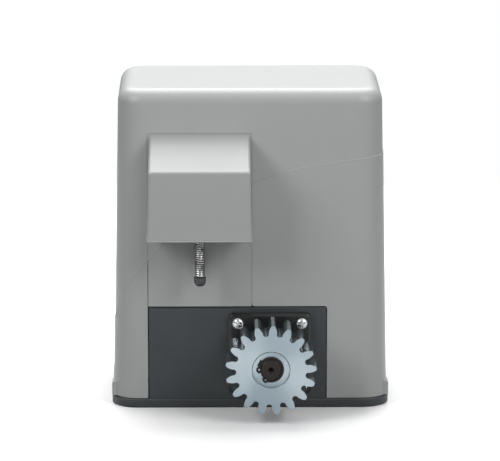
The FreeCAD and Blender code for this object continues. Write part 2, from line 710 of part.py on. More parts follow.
def base_housing():
    """The cast base: plinth, front and rear walls, gear case, bearing seats, lugs and pads."""
    front = face_wall("FrontWall", "-open_left + open_gap", "open_right - open_gap", True)
    back = face_wall("BackWall", "shaft_x - back_half", "shaft_x + back_half", False)
    case_size = (f"{CASE_RIGHT} - {CASE_LEFT}", f"{CASE_BACK} - {CASE_FRONT}", "case_top - plinth_t + 1")
    case = soften("CaseOutside", block("CaseBlock", (CASE_LEFT, CASE_FRONT, "plinth_t - 1"), case_size),
                  "6",
                  spans("z", 20))
    columns = [rod(f"CaseColumn{i}", "column_dia / 2", "case_top - plinth_t + 1", (x, y, "plinth_t - 1"))
               for i, (x, y) in enumerate(CASE_CORNERS)]
    neck = rod("FrontNeck", "front_brg_dia / 2 + case_wall + 2", f"{CASE_FRONT} - {WALL_INNER} + 2",
               ("shaft_x", f"{WALL_INNER} - 1", "shaft_z"), "+Y")
    neck_rib = block("FrontNeckRib", ("shaft_x - 4", f"{WALL_INNER} - 1", "plinth_t - 1"),
                     ("8", f"{CASE_FRONT} - {WALL_INNER} + 2", "shaft_z - plinth_t + 1"))
    tail = rod("TailBoss", "rear_brg_dia / 2 + case_wall", f"{TAIL_END} + 3 - {CASE_BACK} + 1",
               ("shaft_x", f"{CASE_BACK} - 1", "shaft_z"), "+Y")
    niche_box = block("NicheBox",
                      ("shaft_x - niche_w / 2 - 3", f"{BACK_FACE} - niche_deep - 3", "plinth_t - 1"),
                      ("niche_w + 6", "niche_deep + 1", "shaft_z + niche_tall / 2 + 4 - plinth_t"))
    solids = [plinth(), front, back, case, neck, neck_rib, tail, niche_box, *columns]
    holes = []
    for i, side in enumerate(SIDES):
        for spot in ("boss_front_y", "boss_rear_y"):
            face = f"({COVER_HALF_W} - crease_step - cover_wall - boss_inward - 0.4)"
            low_x = f"{face} - lug_t" if side > 0 else f"-{face}"
            tag = f"{i}{'F' if 'front' in spot else 'B'}"
            solids.append(block("Lug" + tag, (low_x, f"{spot} - lug_wide / 2", "plinth_t - 1"),
                                ("lug_t", "lug_wide", "side_screw_z + 8 - plinth_t")))
            holes.append(rod("LugHole" + tag, "side_screw_dia / 2", "lug_t + 2",
                             (f"{low_x} - 1", spot, "side_screw_z"), "+X"))
    for i, (x, long) in enumerate((("tx_x - tx_w / 2 + 8", "tx_d + 8"), ("tx_x", "tx_d + 20"),
                                   ("tx_x + tx_w / 2 - 8", "tx_d + 8"))):
        solids.append(middle_block(f"TransformerPad{i}", (x, "tx_y"), ("12", long, "3"), "plinth_t - 1"))
    solids.append(rod("CapacitorPad", "cap_dia / 2 + 2", "3", ("cap_x", "cap_y", "plinth_t - 1")))
    body = fuse("BaseSolid", *solids)

    holes.append(rod("WheelRoom", WHEEL_ROOM, f"{CASE_IN_BACK} - {CASE_IN_FRONT}",
                     ("shaft_x", CASE_IN_FRONT, "shaft_z"), "+Y"))
    holes.append(block("WheelWay", (f"shaft_x - {WHEEL_ROOM}", CASE_IN_FRONT, "shaft_z"),
                       (f"2 * {WHEEL_ROOM}", f"{CASE_IN_BACK} - {CASE_IN_FRONT}", "case_top")))
    holes.append(rod("WormRoom", WORM_ROOM, "case_top", (WORM_X, "wheel_y", FOOT_BRG_LOW)))
    holes.append(rod("FrontBearingSeat", "front_brg_dia / 2", "front_brg_t + 1",
                     ("shaft_x", f"{FRONT_FACE} - 1", "shaft_z"), "+Y"))
    holes.append(rod("ShaftWay", "shaft_dia / 2 + 3", f"{CASE_IN_FRONT} - {FRONT_FACE}",
                     ("shaft_x", FRONT_FACE, "shaft_z"), "+Y"))
    holes.append(rod("TailSeat", "rear_brg_dia / 2", "rear_brg_t", ("shaft_x", TAIL_BRG, "shaft_z"),
                     "+Y"))
    holes.append(rod("TailWay", "tail_dia / 2 + 3", f"{TAIL_BRG} - {CASE_IN_BACK} + 2",
                     ("shaft_x", f"{CASE_IN_BACK} - 1", "shaft_z"), "+Y"))
    holes.append(rod("RodWay", "rod_dia / 2 + fit", "plinth_d", ("shaft_x", TAIL_BRG, "shaft_z"), "+Y"))
    niche = block("Niche",
                  ("shaft_x - niche_w / 2", f"{BACK_FACE} - niche_deep", "shaft_z - niche_tall / 2"),
                  ("niche_w", "niche_deep + 2", "niche_tall"))
    holes.append(soften("NicheRound", niche, "6", spans("y", 5)))
    holes += base_holes()
    holes += screw_holes("CaseScrewHole", [(x, y, "case_top") for x, y in CASE_CORNERS], "-Z",
                         "lid_screw_dia", "14")
    holes += screw_holes("FlangeScrewHole", FLANGE_SPOTS, "+Y", "flange_screw_dia",
                         "flange_t + face_wall + 1")
    holes += screw_holes("HoodScrewHole", HOOD_SCREW_SPOTS, "-Y", "small_screw_dia", "hood_lug_t + 5")
    holes += screw_holes("CarrierScrewHole", CARRIER_SCREW_SPOTS, "-Z", "small_screw_dia",
                         "carrier_t + 5")
    holes += screw_holes("TransformerScrewHole", TX_SCREW_SPOTS, "-Z", "small_screw_dia", "bracket_t + 6")
    holes += screw_holes("ClampScrewHole", CLAMP_SCREW_SPOTS, "-Z", "small_screw_dia", "bracket_t + 5")
    return node(cut("BaseHousing", body, *holes), "base_housing")


def base_holes():
    """Holes through the floor of the base, and the recesses in its underside."""
    holes = []
    half = "(slot_len - slot_wide) / 2"
    for i, (sx, sy) in enumerate((sx, sy) for sx in SIDES for sy in SIDES):
        x = f"{sx} * slot_x"
        y = f"{sy} * slot_y"
        holes.append(rod(f"SlotLeft{i}", "slot_wide / 2", "plinth_t + 2", (f"{x} - {half}", y, "-1")))
        holes.append(rod(f"SlotRight{i}", "slot_wide / 2", "plinth_t + 2", (f"{x} + {half}", y, "-1")))
        holes.append(middle_block(f"SlotWay{i}", (x, y),
                                  ("slot_len - slot_wide", "slot_wide", "plinth_t + 2"), "-1"))
        holes.append(rod(f"JackHole{i}", "jack_dia / 2", "plinth_t + 2",
                         (f"{sx} * jack_x", f"{sy} * jack_y", "-1")))
    holes.append(rod("EntryHole", "entry_dia / 2", "plinth_t + 2", ("entry_x", "entry_y", "-1")))
    room_x = "(slot_x - slot_len / 2 - 6 - recess_rim / 2)"
    room_y = "(plinth_d / 2 - 1.5 * recess_rim)"
    for i, (sx, sy) in enumerate((sx, sy) for sx in SIDES for sy in SIDES):
        low_x = "recess_rim / 2" if sx > 0 else f"-(recess_rim / 2) - {room_x}"
        low_y = "recess_rim / 2" if sy > 0 else f"-(recess_rim / 2) - {room_y}"
        size_y = room_y if (sx, sy) != (-1, 1) else "(entry_y - entry_dia / 2 - 5 - recess_rim / 2)"
        holes.append(block(f"Recess{i}", (low_x, low_y, "0"), (room_x, size_y, "recess_depth")))
    return holes


# ---- fasteners ---------------------------------------------------------------

OPPOSITE = {"+X": "-X", "-X": "+X", "+Y": "-Y", "-Y": "+Y", "+Z": "-Z", "-Z": "+Z"}


def screw_solids(name, spots, along, length, shank_dia, head_dia, head_t):
    """Heads seated at the spots with shanks that run along, two solids for each screw."""
    parts = []
    for i, spot in enumerate(spots):
        parts.append(rod(f"{name}Head{i}", f"{head_dia} / 2", head_t, spot, OPPOSITE[along]))
        parts.append(rod(f"{name}Shank{i}", f"{shank_dia} / 2", length, spot, along))
    return parts


def screw_set(label, *groups):
    """A node of screws made of the groups' solids."""
    solids = [solid for group in groups for solid in group]
    return node(fuse(label.title().replace("_", ""), *solids), label)


def screw_holes(name, spots, along, dia, length):
    """The holes that a set of screws goes into."""
    return [rod(f"{name}{i}", f"{dia} / 2", length, spot, along) for i, spot in enumerate(spots)]


# ---- output shaft, pinion and their bearings ---------------------------------

def about_shaft(name, thing, angle):
    """Turns a piece made round the Y axis by an angle, +X towards +Z, and puts it on the shaft's axis."""
    group = DOC.addObject("Part::Compound", name)
    group.Links = [thing]
    group.Placement = Placement(Vector(), Rotation(Vector(0, -1, 0), 1))
    group.setExpression("Placement.Rotation.Angle", expression(angle))
    group.setExpression("Placement.Base.x", expression("shaft_x"))
    group.setExpression("Placement.Base.z", expression("shaft_z"))
    return group


def bearing(label, plane, at, dia, width, bore):
    """A shielded ball bearing: rings with the shields set back between them."""
    inner, outer, back = f"{bore} / 2 + fit", f"{dia} / 2", "0.6"
    low, high = f"({bore} / 2 + 2.2)", f"({dia} / 2 - 2.2)"
    points = [(inner, "0"), (low, "0"), (low, back), (high, back), (high, "0"), (outer, "0"),
              (outer, width), (high, width), (high, f"{width} - {back}"), (low, f"{width} - {back}"),
              (low, width), (inner, width)]
    return node(turned(label.title().replace("_", ""), plane, points, at), label)


def output_shaft():
    """The stepped output shaft with its circlip groove, keyway, hollow and cross slot."""
    end = "(-pinion_front + 0.2)"
    groove = ("(-pinion_front + pinion_sink - clip_t - 0.05)", "(-pinion_front + pinion_sink)")
    seat, neck, main, tail = "seat_dia / 2", "seat_dia / 2 - 0.5", "shaft_dia / 2", "tail_dia / 2"
    step = f"({WHEEL_BACK} + 3)"
    points = [("0", end), (f"{seat} - 1", end), (seat, f"{end} + 1"), (seat, groove[0]),
              (neck, groove[0]),
              (neck, groove[1]), (seat, groove[1]), (seat, PINION_BACK), (main, PINION_BACK),
              (main, step),
              (tail, step), (tail, TAIL_END), ("0", TAIL_END)]
    core = turned("ShaftCore", "XY_Plane", points, ("shaft_x", "0", "shaft_z"))
    centre = DOC.addObject("Part::Cone", "CentreDrill")
    bind(centre, Radius1="2.6", Radius2="0", Height="3")
    place(centre, "shaft_x", end, "shaft_z", turn=ALONG["+Y"])
    keyway = about_shaft("ShaftKeyway", key_block("ShaftKeywayBlock"), "key_turn")
    bore = rod("ShaftBore", "rod_dia / 2 + fit", f"{TAIL_END} - {PIN_Y} + dog_reach + pin_dia",
               ("shaft_x", f"{PIN_Y} - dog_reach - pin_dia", "shaft_z"), "+Y")
    slot = block("PinSlot", (f"shaft_x - pin_dia / 2 - fit", f"{PIN_Y} - dog_reach - pin_dia / 2 - 0.3",
                             "shaft_z - shaft_dia"),
                 ("pin_dia + 2 * fit", "dog_reach + pin_dia + 0.6", "2 * shaft_dia"))
    return node(cut("OutputShaft", core, centre, keyway, bore, slot), "output_shaft")


PIN_Y = f"(({DOG_BACK} + {DOG_FRONT}) / 2)"


def key_block(name):
    """The pinion's key, lying along Y at the shaft's rim."""
    return block(name, ("seat_dia / 2 - key_wide * 0.58", "-pinion_front + pinion_sink + 1",
                        "-key_wide / 2"),
                 ("key_wide", "key_len", "key_wide"))


def output_key():
    """The parallel key between the shaft and the pinion."""
    return node(about_shaft("OutputKey", key_block("KeyBlock"), "key_turn"), "output_key")


def tooth_half_angle(radius, teeth, module, pressure=math.radians(20)):
    """Half the angle that an involute tooth takes up at a radius."""
    base = module * teeth / 2 * math.cos(pressure)
    lean = math.acos(min(1, base / radius))
    return math.pi / (2 * teeth) + (math.tan(pressure) - pressure) - (math.tan(lean) - lean)


def on_circle(radius, angle, y=0.0):
    """A point of a circle in the XZ plane."""
    return Vector(radius * math.cos(angle), y, radius * math.sin(angle))


def involute_outline(teeth, module, first):
    """The outline of a spur gear with involute flanks and round roots, in the XZ plane."""
    pitch = module * teeth / 2
    tip, root = pitch + module, pitch - 1.25 * module
    base = pitch * math.cos(math.radians(20))
    step = 2 * math.pi / teeth
    at_tip, at_base = (tooth_half_angle(r, teeth, module) for r in (tip, base))
    middle = (tip + base) / 2
    at_middle = tooth_half_angle(middle, teeth, module)
    edges = []
    for i in range(teeth):
        turn = first + i * step
        edges += [Part.Arc(on_circle(base, turn - at_base), on_circle(middle, turn - at_middle),
                           on_circle(tip, turn - at_tip)),
                  Part.Arc(on_circle(tip, turn - at_tip), on_circle(tip, turn),
                           on_circle(tip, turn + at_tip)),
                  Part.Arc(on_circle(tip, turn + at_tip), on_circle(middle, turn + at_middle),
                           on_circle(base, turn + at_base)),
                  Part.Arc(on_circle(base, turn + at_base), on_circle(root, turn + step / 2),
                           on_circle(base, turn + step - at_base))]
    return Part.Wire([edge.toShape() for edge in edges])


def drive_pinion():
    """The rack pinion with a recessed face, a keyway and a bore for the shaft's seat."""
    blank = DOC.addObject("Part::Feature", "PinionBlank")
    wire = involute_outline(round(value("pinion_teeth")), value("pinion_module"),
                            math.radians(value("pinion_turn")))
    blank.Shape = Part.Face(wire).extrude(Vector(0, value("pinion_wide"), 0))
    place(blank, "shaft_x", "-pinion_front", "shaft_z")
    bore = rod("PinionBore", "seat_dia / 2", "pinion_wide + 2",
               ("shaft_x", "-pinion_front - 1", "shaft_z"), "+Y")
    rim = "pinion_sink_dia / 2"
    sink = turned("PinionSink", "XY_Plane",
                  [("0", "-pinion_front - 1"), (f"{rim} + sink_bevel + 1", "-pinion_front - 1"),
                   (rim, "-pinion_front + sink_bevel"), (rim, "-pinion_front + pinion_sink"),
                   ("0", "-pinion_front + pinion_sink")], ("shaft_x", "0", "shaft_z"))
    way = block("PinionKeyWay", ("0", "-pinion_front - 1", "-key_wide / 2"),
                ("seat_dia / 2 + key_wide * 0.47", "pinion_wide + 2", "key_wide"))
    keyway = about_shaft("PinionKeyWayTurned", way, "key_turn")
    return node(cut("DrivePinion", blank, bore, sink, keyway), "drive_pinion")


def pinion_circlip():
    """The circlip that keeps the pinion on the shaft, with its two pierced lugs."""
    low = "(-pinion_front + pinion_sink - clip_t - 0.02)"
    ring = rod("ClipRing", "seat_dia / 2 + 1.9", "clip_t", ("0", low, "0"), "+Y")
    lugs = []
    tools = [rod("ClipBore", "seat_dia / 2 - 0.5", "clip_t + 2", ("0", f"{low} - 1", "0"), "+Y"),
             block("ClipGap", ("0", f"{low} - 1", "-2.4"), ("20", "clip_t + 2", "4.8"))]
    for side in SIDES:
        x, z = "(seat_dia / 2 + 0.8) * cos(31)", f"{side} * (seat_dia / 2 + 0.8) * sin(31)"
        lugs.append(rod(f"ClipLug{side + 1}", "2.6", "clip_t", (x, low, z), "+Y"))
        tools.append(rod(f"ClipEye{side + 1}", "1", "clip_t + 2", (x, f"{low} - 1", z), "+Y"))
    clip = cut("ClipFlat", fuse("ClipSolid", ring, *lugs), *tools)
    return node(about_shaft("PinionCirclip", clip, "clip_turn"), "pinion_circlip")


def bearing_flange():
    """The square bevelled flange over the front bearing."""
    slab = block("FlangeSlab", ("shaft_x - flange_side / 2", FLANGE_FACE, "shaft_z - flange_side / 2"),
                 ("flange_side", "flange_t", "flange_side"))
    corners = soften("FlangeCorners", slab, "flange_round", spans("y", 1))
    bevelled = soften("FlangeBevel", corners, "flange_bevel", lies_at("y", value(FLANGE_FACE)),
                      chamfer=True)
    seat = rod("SealSeat", "seal_dia / 2", "flange_t + 2", ("shaft_x", f"{FLANGE_FACE} - 1", "shaft_z"),
               "+Y")
    holes = screw_holes("FlangeHole", FLANGE_SPOTS, "+Y", "flange_screw_dia", "flange_t + 1")
    return node(cut("BearingFlange", bevelled, seat, *holes), "bearing_flange")


def oil_seal():
    """The lip seal in the flange: a rubber ring with a groove in its face."""
    lip, outer = "shaft_dia / 2 + fit", "seal_dia / 2"
    low, high = f"({FLANGE_FACE} + 0.8)", FRONT_FACE
    points = [(lip, low), (f"{lip} + 1.2", low), (f"{lip} + 2", f"{low} + 2"),
              (f"{outer} - 2", f"{low} + 2"),
              (f"{outer} - 1.6", low), (outer, low), (outer, high), (lip, high)]
    return node(turned("OilSeal", "XY_Plane", points, ("shaft_x", "0", "shaft_z")), "oil_seal")


# ---- worm gear and release clutch --------------------------------------------

def worm_wheel():
    """The bronze worm wheel: slanted teeth round a bored hub, with pockets for the clutch."""
    teeth, module = round(value("wheel_teeth")), value("wheel_module")
    pitch = module * teeth / 2
    tip, root = pitch + module, pitch - 1.25 * module
    slope = math.tan(math.radians(20))
    half = math.pi * module / 4
    width = value("wheel_wide")
    twist = -width / 2 * module / (2 * value("worm_rad")) / pitch
    sections = []
    for end in (-1, 1):
        corners = []
        for i in range(teeth):
            turn = 2 * math.pi * i / teeth + end * twist
            for radius, side in ((root, -1), (tip, -1), (tip, 1), (root, 1)):
                spread = (half + (pitch - radius) * slope) / radius
                corners.append(on_circle(radius, turn + side * spread, end * width / 2))
        sections.append(Part.makePolygon(corners + corners[:1]))
    blank = DOC.addObject("Part::Feature", "WheelBlank")
    blank.Shape = Part.makeLoft(sections, True, True)
    place(blank, "shaft_x", "wheel_y", "shaft_z")
    hub = rod("WheelHub", "dog_dia / 2 + 2", f"{WHEEL_BACK} - {WHEEL_FRONT}",
              ("shaft_x", WHEEL_FRONT, "shaft_z"), "+Y")
    bore = rod("WheelBore", "shaft_dia / 2", f"{WHEEL_BACK} - {WHEEL_FRONT} + 2",
               ("shaft_x", f"{WHEEL_FRONT} - 1", "shaft_z"), "+Y")
    pockets = [about_shaft(f"WheelPocket{i}", dog_tooth(f"WheelPocketBlock{i}", "0.3"), f"{90 * i}")
               for i in range(4)]
    return node(cut("WormWheel", fuse("WheelSolid", blank, hub), bore, *pockets), "worm_wheel")


def dog_tooth(name, room):
    """One tooth of the clutch ring, or with room the pocket it drops into."""
    return block(name, ("shaft_dia / 2 + 4 - " + room, f"{DOG_BACK} - 1", f"-4 - {room}"),
                 (f"6 + 2 * {room}", f"1 + 2 + dog_reach - 0.5 + {room}", f"8 + 2 * {room}"))


def clutch_ring():
    """The sliding clutch ring whose four teeth drive the wheel, with its cross pin's hole."""
    ring = rod("DogRing", "dog_dia / 2", "dog_ring_t", ("shaft_x", DOG_FRONT, "shaft_z"), "+Y")
    teeth = [about_shaft(f"DogTooth{i}", dog_tooth(f"DogToothBlock{i}", "0"), f"{90 * i}")
             for i in range(4)]
    bore = rod("DogBore", "shaft_dia / 2 + fit", "dog_ring_t + 20",
               ("shaft_x", f"{DOG_FRONT} - 5", "shaft_z"), "+Y")
    hole = rod("DogPinHole", "pin_dia / 2", "dog_dia + 2",
               ("shaft_x", PIN_Y, "shaft_z - dog_dia / 2 - 1"))
    return node(cut("ClutchRing", fuse("DogSolid", ring, *teeth), bore, hole), "clutch_ring")


def clutch_pin():
    """The cross pin that carries the push of the release rod to the clutch ring."""
    return node(rod("ClutchPin", "pin_dia / 2", "dog_dia - 2",
                    ("shaft_x", PIN_Y, "shaft_z - dog_dia / 2 + 1")),
                "clutch_pin")


NICHE_FLOOR = f"({BACK_FACE} - niche_deep)"


def release_parts():
    """The release rod, the knob that works it, the lock barrel in the knob and its dust flap."""
    tip = f"({PIN_Y} + pin_dia / 2 + 0.05)"
    node(rod("ReleaseRod", "rod_dia / 2", f"{NICHE_FLOOR} - 0.5 - {tip}", ("shaft_x", tip, "shaft_z"),
             "+Y"),
         "release_rod")
    low = f"({NICHE_FLOOR} + 0.3)"
    plate = rod("KnobPlate", "knob_dia / 2", "knob_t", ("shaft_x", low, "shaft_z"), "+Y")
    plate_round = soften("KnobPlateRound", plate, "1.5",
                         lambda edge: edge.BoundBox.YMin > value(f"{low} + 1")
                         and edge.BoundBox.YLength < 0.01)
    grip = middle_block("KnobGrip", ("shaft_x", f"{low} + knob_t + grip_tall / 2 - 0.5"),
                        ("12", "grip_tall + 1", "knob_dia - 4"), "shaft_z - knob_dia / 2 + 2")
    grip_round = soften("KnobGripRound", grip, "3", spans("y", 3))
    hole = rod("KnobLockHole", "lock_dia / 2 + fit", "40", ("shaft_x", f"{low} + 3", "shaft_z"), "+Y")
    boss = rod("KnobBoss", "lock_dia / 2 + 3", "knob_t + grip_tall", ("shaft_x", low, "shaft_z"), "+Y")
    node(cut("ReleaseKnob", fuse("KnobSolid", plate_round, grip_round, boss), hole), "release_knob")
    barrel_low, barrel_high = f"({low} + 3.2)", f"({low} + knob_t + grip_tall - 0.4)"
    barrel = rod("LockBarrelSolid", "lock_dia / 2", f"{barrel_high} - {barrel_low}",
                 ("shaft_x", barrel_low, "shaft_z"), "+Y")
    keyhole = middle_block("Keyhole", ("shaft_x", f"{barrel_high} - 3"), ("1.8", "8", "8"), "shaft_z - 4")
    node(cut("LockBarrel", barrel, keyhole), "lock_barrel")


# ---- gear case lid and motor --------------------------------------------------

def lid_plate(name, low_z, thick):
    """A plate with the gear case's outline and screw ears."""
    plate = soften(name + "Plate", block(name + "Block", (CASE_LEFT, CASE_FRONT, low_z),
                                         (f"{CASE_RIGHT} - {CASE_LEFT}", f"{CASE_BACK} - {CASE_FRONT}",
                                          thick)),
                   "6", spans("z", 0.1))
    ears = [rod(f"{name}Ear{i}", "column_dia / 2", thick, (x, y, low_z)) for i,
            (x, y) in enumerate(CASE_CORNERS)]
    return fuse(name + "Outline", plate, *ears)


def gear_case_gasket():
    """The gasket between the gear case and its lid."""
    inside = block("GasketInside",
                   (f"{CASE_LEFT} + case_wall", f"{CASE_FRONT} + case_wall", "case_top - 1"),
                   (f"{CASE_RIGHT} - {CASE_LEFT} - 2 * case_wall",
                    f"{CASE_BACK} - {CASE_FRONT} - 2 * case_wall", "5"))
    holes = screw_holes("GasketHole", [(x, y, "case_top - 1") for x, y in CASE_CORNERS], "+Z",
                        "lid_screw_dia", "5")
    return node(cut("Gasket", lid_plate("GasketPlate", "case_top", "gasket_t"), inside, *holes),
                "gear_case_gasket")


def gear_case_lid():
    """The lid of the gear case with the motor's seat and stiffening gussets."""
    plate = lid_plate("LidPlate", LID_LOW, "lid_t")
    seat = rod("MotorSeat", "motor_dia / 2", f"{MOTOR_LOW} - {LID_TOP} + 1",
               (WORM_X, "wheel_y", f"{LID_TOP} - 1"))
    boss = rod("FillerBoss", "8", "6", ("shaft_x - 20", "wheel_y", f"{LID_TOP} - 1"))
    gussets = [block(f"LidGusset{i}", ("shaft_x - 30", y, f"{LID_TOP} - 1"), ("30", "3", "5"))
               for i, y in enumerate((f"{CASE_FRONT} + 8", f"{CASE_BACK} - 11"))]
    tools = [rod("LidBearingSeat", "rear_brg_dia / 2", "rear_brg_t + 1",
                 (WORM_X, "wheel_y", f"{MOTOR_LOW} - rear_brg_t")),
             rod("LidWormWay", f"{WORM_TIP} + 1", "40", (WORM_X, "wheel_y", f"{LID_LOW} - 1"))]
    tools += screw_holes("LidHole", [(x, y, f"{LID_LOW} - 1") for x, y in CASE_CORNERS], "+Z",
                         "lid_screw_dia",
                         "lid_t + 2")
    tools += screw_holes("LidHeadWay", [(x, y, LID_TOP) for x, y in CASE_CORNERS], "+Z",
                         "lid_head_dia + 1", "20")
    tools += [rod(f"LidTieHole{i}", "tie_dia / 2", "6", spot, "-Z") for i,
              spot in enumerate(tie_spots(MOTOR_LOW))]
    return node(cut("GearCaseLid", fuse("LidSolid", plate, seat, boss, *gussets), *tools),
                "gear_case_lid")


def tie_spots(z):
    """Places of the motor's four tie bolts at a height."""
    reach = "tie_pitch / 2 * cos(45)"
    return [(f"{WORM_X} + {i} * {reach}", f"wheel_y + {j} * {reach}", z) for i in SIDES for j in SIDES]


def motor_shell(label, low, high, seat_dia, seat_low, seat_high, opening_up):
    """A bell of the motor: a cup with a bearing seat and holes for the tie bolts."""
    outer, inner = "motor_dia / 2", "(motor_dia / 2 - bell_wall)"
    hollow_low = f"({low} + bell_wall)" if opening_up else low
    body = rod(label + "Outer", outer, f"{high} - {low}", (WORM_X, "wheel_y", low))
    tools = [rod(label + "Hollow", inner, f"{high} - {low} - bell_wall",
                 (WORM_X, "wheel_y", hollow_low)),
             rod(label + "Seat", f"{seat_dia} / 2", f"{seat_high} - {seat_low}",
                 (WORM_X, "wheel_y", seat_low)),
             rod(label + "Way", "worm_shaft_dia / 2 + 1", f"{high} - {low} + 2",
                 (WORM_X, "wheel_y", f"{low} - 1"))]
    boss = rod(label + "Boss", f"{seat_dia} / 2 + 3.5", f"{seat_high} - {seat_low}",
               (WORM_X, "wheel_y", seat_low))
    posts = [rod(f"{label}Post{i}", "tie_dia / 2 + 3", f"{high} - {low}", spot) for i,
             spot in enumerate(tie_spots(low))]
    trimmed = common(label + "Posts", fuse(label + "PostSet", *posts),
                     rod(label + "Trim", outer, f"{high} - {low}", (WORM_X, "wheel_y", low)))
    holes = screw_holes(label + "Tie", tie_spots(f"{low} - 1"), "+Z", "tie_dia", f"{high} - {low} + 2")
    cup = cut(label + "Cup", body, tools[0])
    return cut(label + "Body", fuse(label + "Solid", cup, boss, trimmed), tools[1], tools[2], *holes)


def motor():
    """The induction motor that stands on the gear case, from the lower bell to the tie bolts."""
    axis = (WORM_X, "wheel_y")
    seat_low = f"({MOTOR_HIGH} - bell_wall - small_brg_t)"
    node(motor_shell("LowerBell", MOTOR_LOW, STACK_LOW, "worm_shaft_dia + 8", MOTOR_LOW,
                     f"({MOTOR_LOW} + bell_wall)",
                     True), "motor_lower_bell")
    upper = motor_shell("UpperBell", STACK_HIGH, MOTOR_HIGH, "small_brg_dia", seat_low,
                        f"({seat_low} + small_brg_t)", False)
    node(upper, "motor_upper_bell")
    stack = rod("StackOuter", "motor_dia / 2", "stack_tall", (*axis, STACK_LOW))
    holes = screw_holes("StackTie", tie_spots(f"{STACK_LOW} - 1"), "+Z", "tie_dia", "stack_tall + 2")
    bore = rod("StackBore", "stator_bore / 2", "stack_tall + 2", (*axis, f"{STACK_LOW} - 1"))
    node(cut("StatorStack", stack, bore, *holes), "stator_stack")
    low, high = "(stator_bore / 2 + 2)", "(tie_pitch / 2 - tie_dia / 2 - 3.5)"
    coils = []
    for i, (start, end) in enumerate(((f"({STACK_LOW} - coil_reach)", STACK_LOW),
                                      (STACK_HIGH, f"({STACK_HIGH} + coil_reach)"))):
        ring = rod(f"Coil{i}", high, f"{end} - {start}", (*axis, start))
        hole = rod(f"CoilHole{i}", low, f"{end} - {start}", (*axis, start))
        coils.append(soften(f"CoilRound{i}", cut(f"CoilRing{i}", ring, hole), "2.5",
                            lies_at("z", value(start if i == 0 else end))))
    node(fuse("StatorWindings", *coils), "stator_windings")
    bolt_top = f"({MOTOR_HIGH})"
    screw_set("motor_tie_bolts",
              screw_solids("TieBolt", tie_spots(bolt_top), "-Z", f"{bolt_top} - {MOTOR_LOW} + 6",
                                              "tie_dia", "tie_head_dia", "tie_head_t"))
    bearing("motor_top_bearing", "XZ_Plane", (*axis, seat_low), "small_brg_dia", "small_brg_t",
            "small_brg_bore")
    bearing("worm_top_bearing", "XZ_Plane", (*axis, f"{MOTOR_LOW} - rear_brg_t"), "rear_brg_dia",
            "rear_brg_t",
            "worm_shaft_dia")
    bearing("worm_foot_bearing", "XZ_Plane", (*axis, FOOT_BRG_LOW), "small_brg_dia", "small_brg_t",
            "small_brg_bore")
    return seat_low


def worm_shaft(top_brg_low):
    """The rotor shaft with the worm cut on it."""
    root, body, end = "(worm_rad - 1.2 * wheel_module)", "worm_shaft_dia / 2", "small_brg_bore / 2"
    foot, top = f"({FOOT_BRG_LOW} + 0.3)", f"({top_brg_low} + small_brg_t)"
    pitch = "(3.14159265 * wheel_module)"
    worm_high = f"(shaft_z + worm_turns * {pitch} / 2 + 4)"
    points = [("0", foot), (end, foot), (end, f"{FOOT_BRG_LOW} + small_brg_t + 1"),
              (root, f"{FOOT_BRG_LOW} + small_brg_t + 1"), (root, worm_high), (body, worm_high),
              (body, f"{top_brg_low} - 3"), (end, f"{top_brg_low} - 3"), (end, top), ("0", top)]
    core = turned("WormCore", "XZ_Plane", points, (WORM_X, "wheel_y", "0"))
    lead, turns = value(pitch), value("worm_turns")
    tip, low = value(WORM_TIP), value(root) - 0.5
    slope = math.tan(math.radians(20))
    half = lead / 4 - value("backlash")
    sides = [(r, half + (value("worm_rad") - r) * slope) for r in (low, tip)]
    corners = [Vector(sides[0][0], 0, -sides[0][1]), Vector(sides[1][0], 0, -sides[1][1]),
               Vector(sides[1][0], 0, sides[1][1]), Vector(sides[0][0], 0, sides[0][1])]
    spine = Part.Wire(Part.makeHelix(lead, lead * turns, value("worm_rad")))
    thread = DOC.addObject("Part::Feature", "WormThread")
    thread.Shape = spine.makePipeShell([Part.makePolygon(corners + corners[:1])], True, True)
    place(thread, WORM_X, "wheel_y", f"shaft_z - worm_turns * {pitch} / 2")
    node(fuse("WormShaft", core, thread), "worm_shaft")
    core_low, core_high = f"({STACK_LOW} + 1)", f"({STACK_HIGH} - 1)"
    outer = "(stator_bore / 2 - air_gap)"
    points = [(body, core_low), (f"{outer} - 4", core_low), (f"{outer} - 4", f"{core_low} - 5"),
              (outer, f"{core_low} - 5"),
              (outer, f"{core_high} + 5"), (f"{outer} - 4", f"{core_high} + 5"),
              (f"{outer} - 4", core_high),
              (body, core_high)]
    node(turned("RotorCore", "XZ_Plane", points, (WORM_X, "wheel_y", "0")), "rotor_core")


# ---- hood and limit switch ----------------------------------------------------

def hood_profile(name, back, wall, width, left):
    """A pad of the hood's side outline, drawn inside its outer faces by wall."""
    slope = f"((hood_top - hood_ridge) / (hood_reach + {HOOD_FACE_TOP}))"
    front = f"(-hood_reach + {wall})"
    drop = f"({wall} * 1.13)"
    if wall == "0":
        low = "hood_bottom"
        roof_end = [(HOOD_FACE_TOP, "hood_top"), (back, "hood_top")]
    else:
        low = "hood_bottom - 5"
        roof_end = [(back, f"hood_top - {drop} - ({HOOD_FACE_TOP} - ({back})) * {slope}")]
    body = new_body(name)
    side = sketch(body, name + "Side", "YZ_Plane", left)
    outline(side,
            [(front, low), (front, f"hood_ridge + {wall} * {slope} - {drop}"), *roof_end, (back, low)])
    pad(body, side, width)
    return body


def hood_front_outline():
    """A pad of the hood's front outline, whose sides lean inwards towards the roof."""
    lean = "((hood_top - hood_bottom) * tan(hood_draft))"
    body = new_body("HoodFrontOutline")
    front = sketch(body, "HoodFrontShape", "XZ_Plane")
    outline(front, [(HOOD_LEFT, "hood_bottom"), (f"{HOOD_LEFT} + hood_w", "hood_bottom"),
                    (f"{HOOD_LEFT} + hood_w - {lean}", "hood_top"),
                    (f"{HOOD_LEFT} + {lean}", "hood_top")])
    pad(body, front, "hood_reach")
    return body


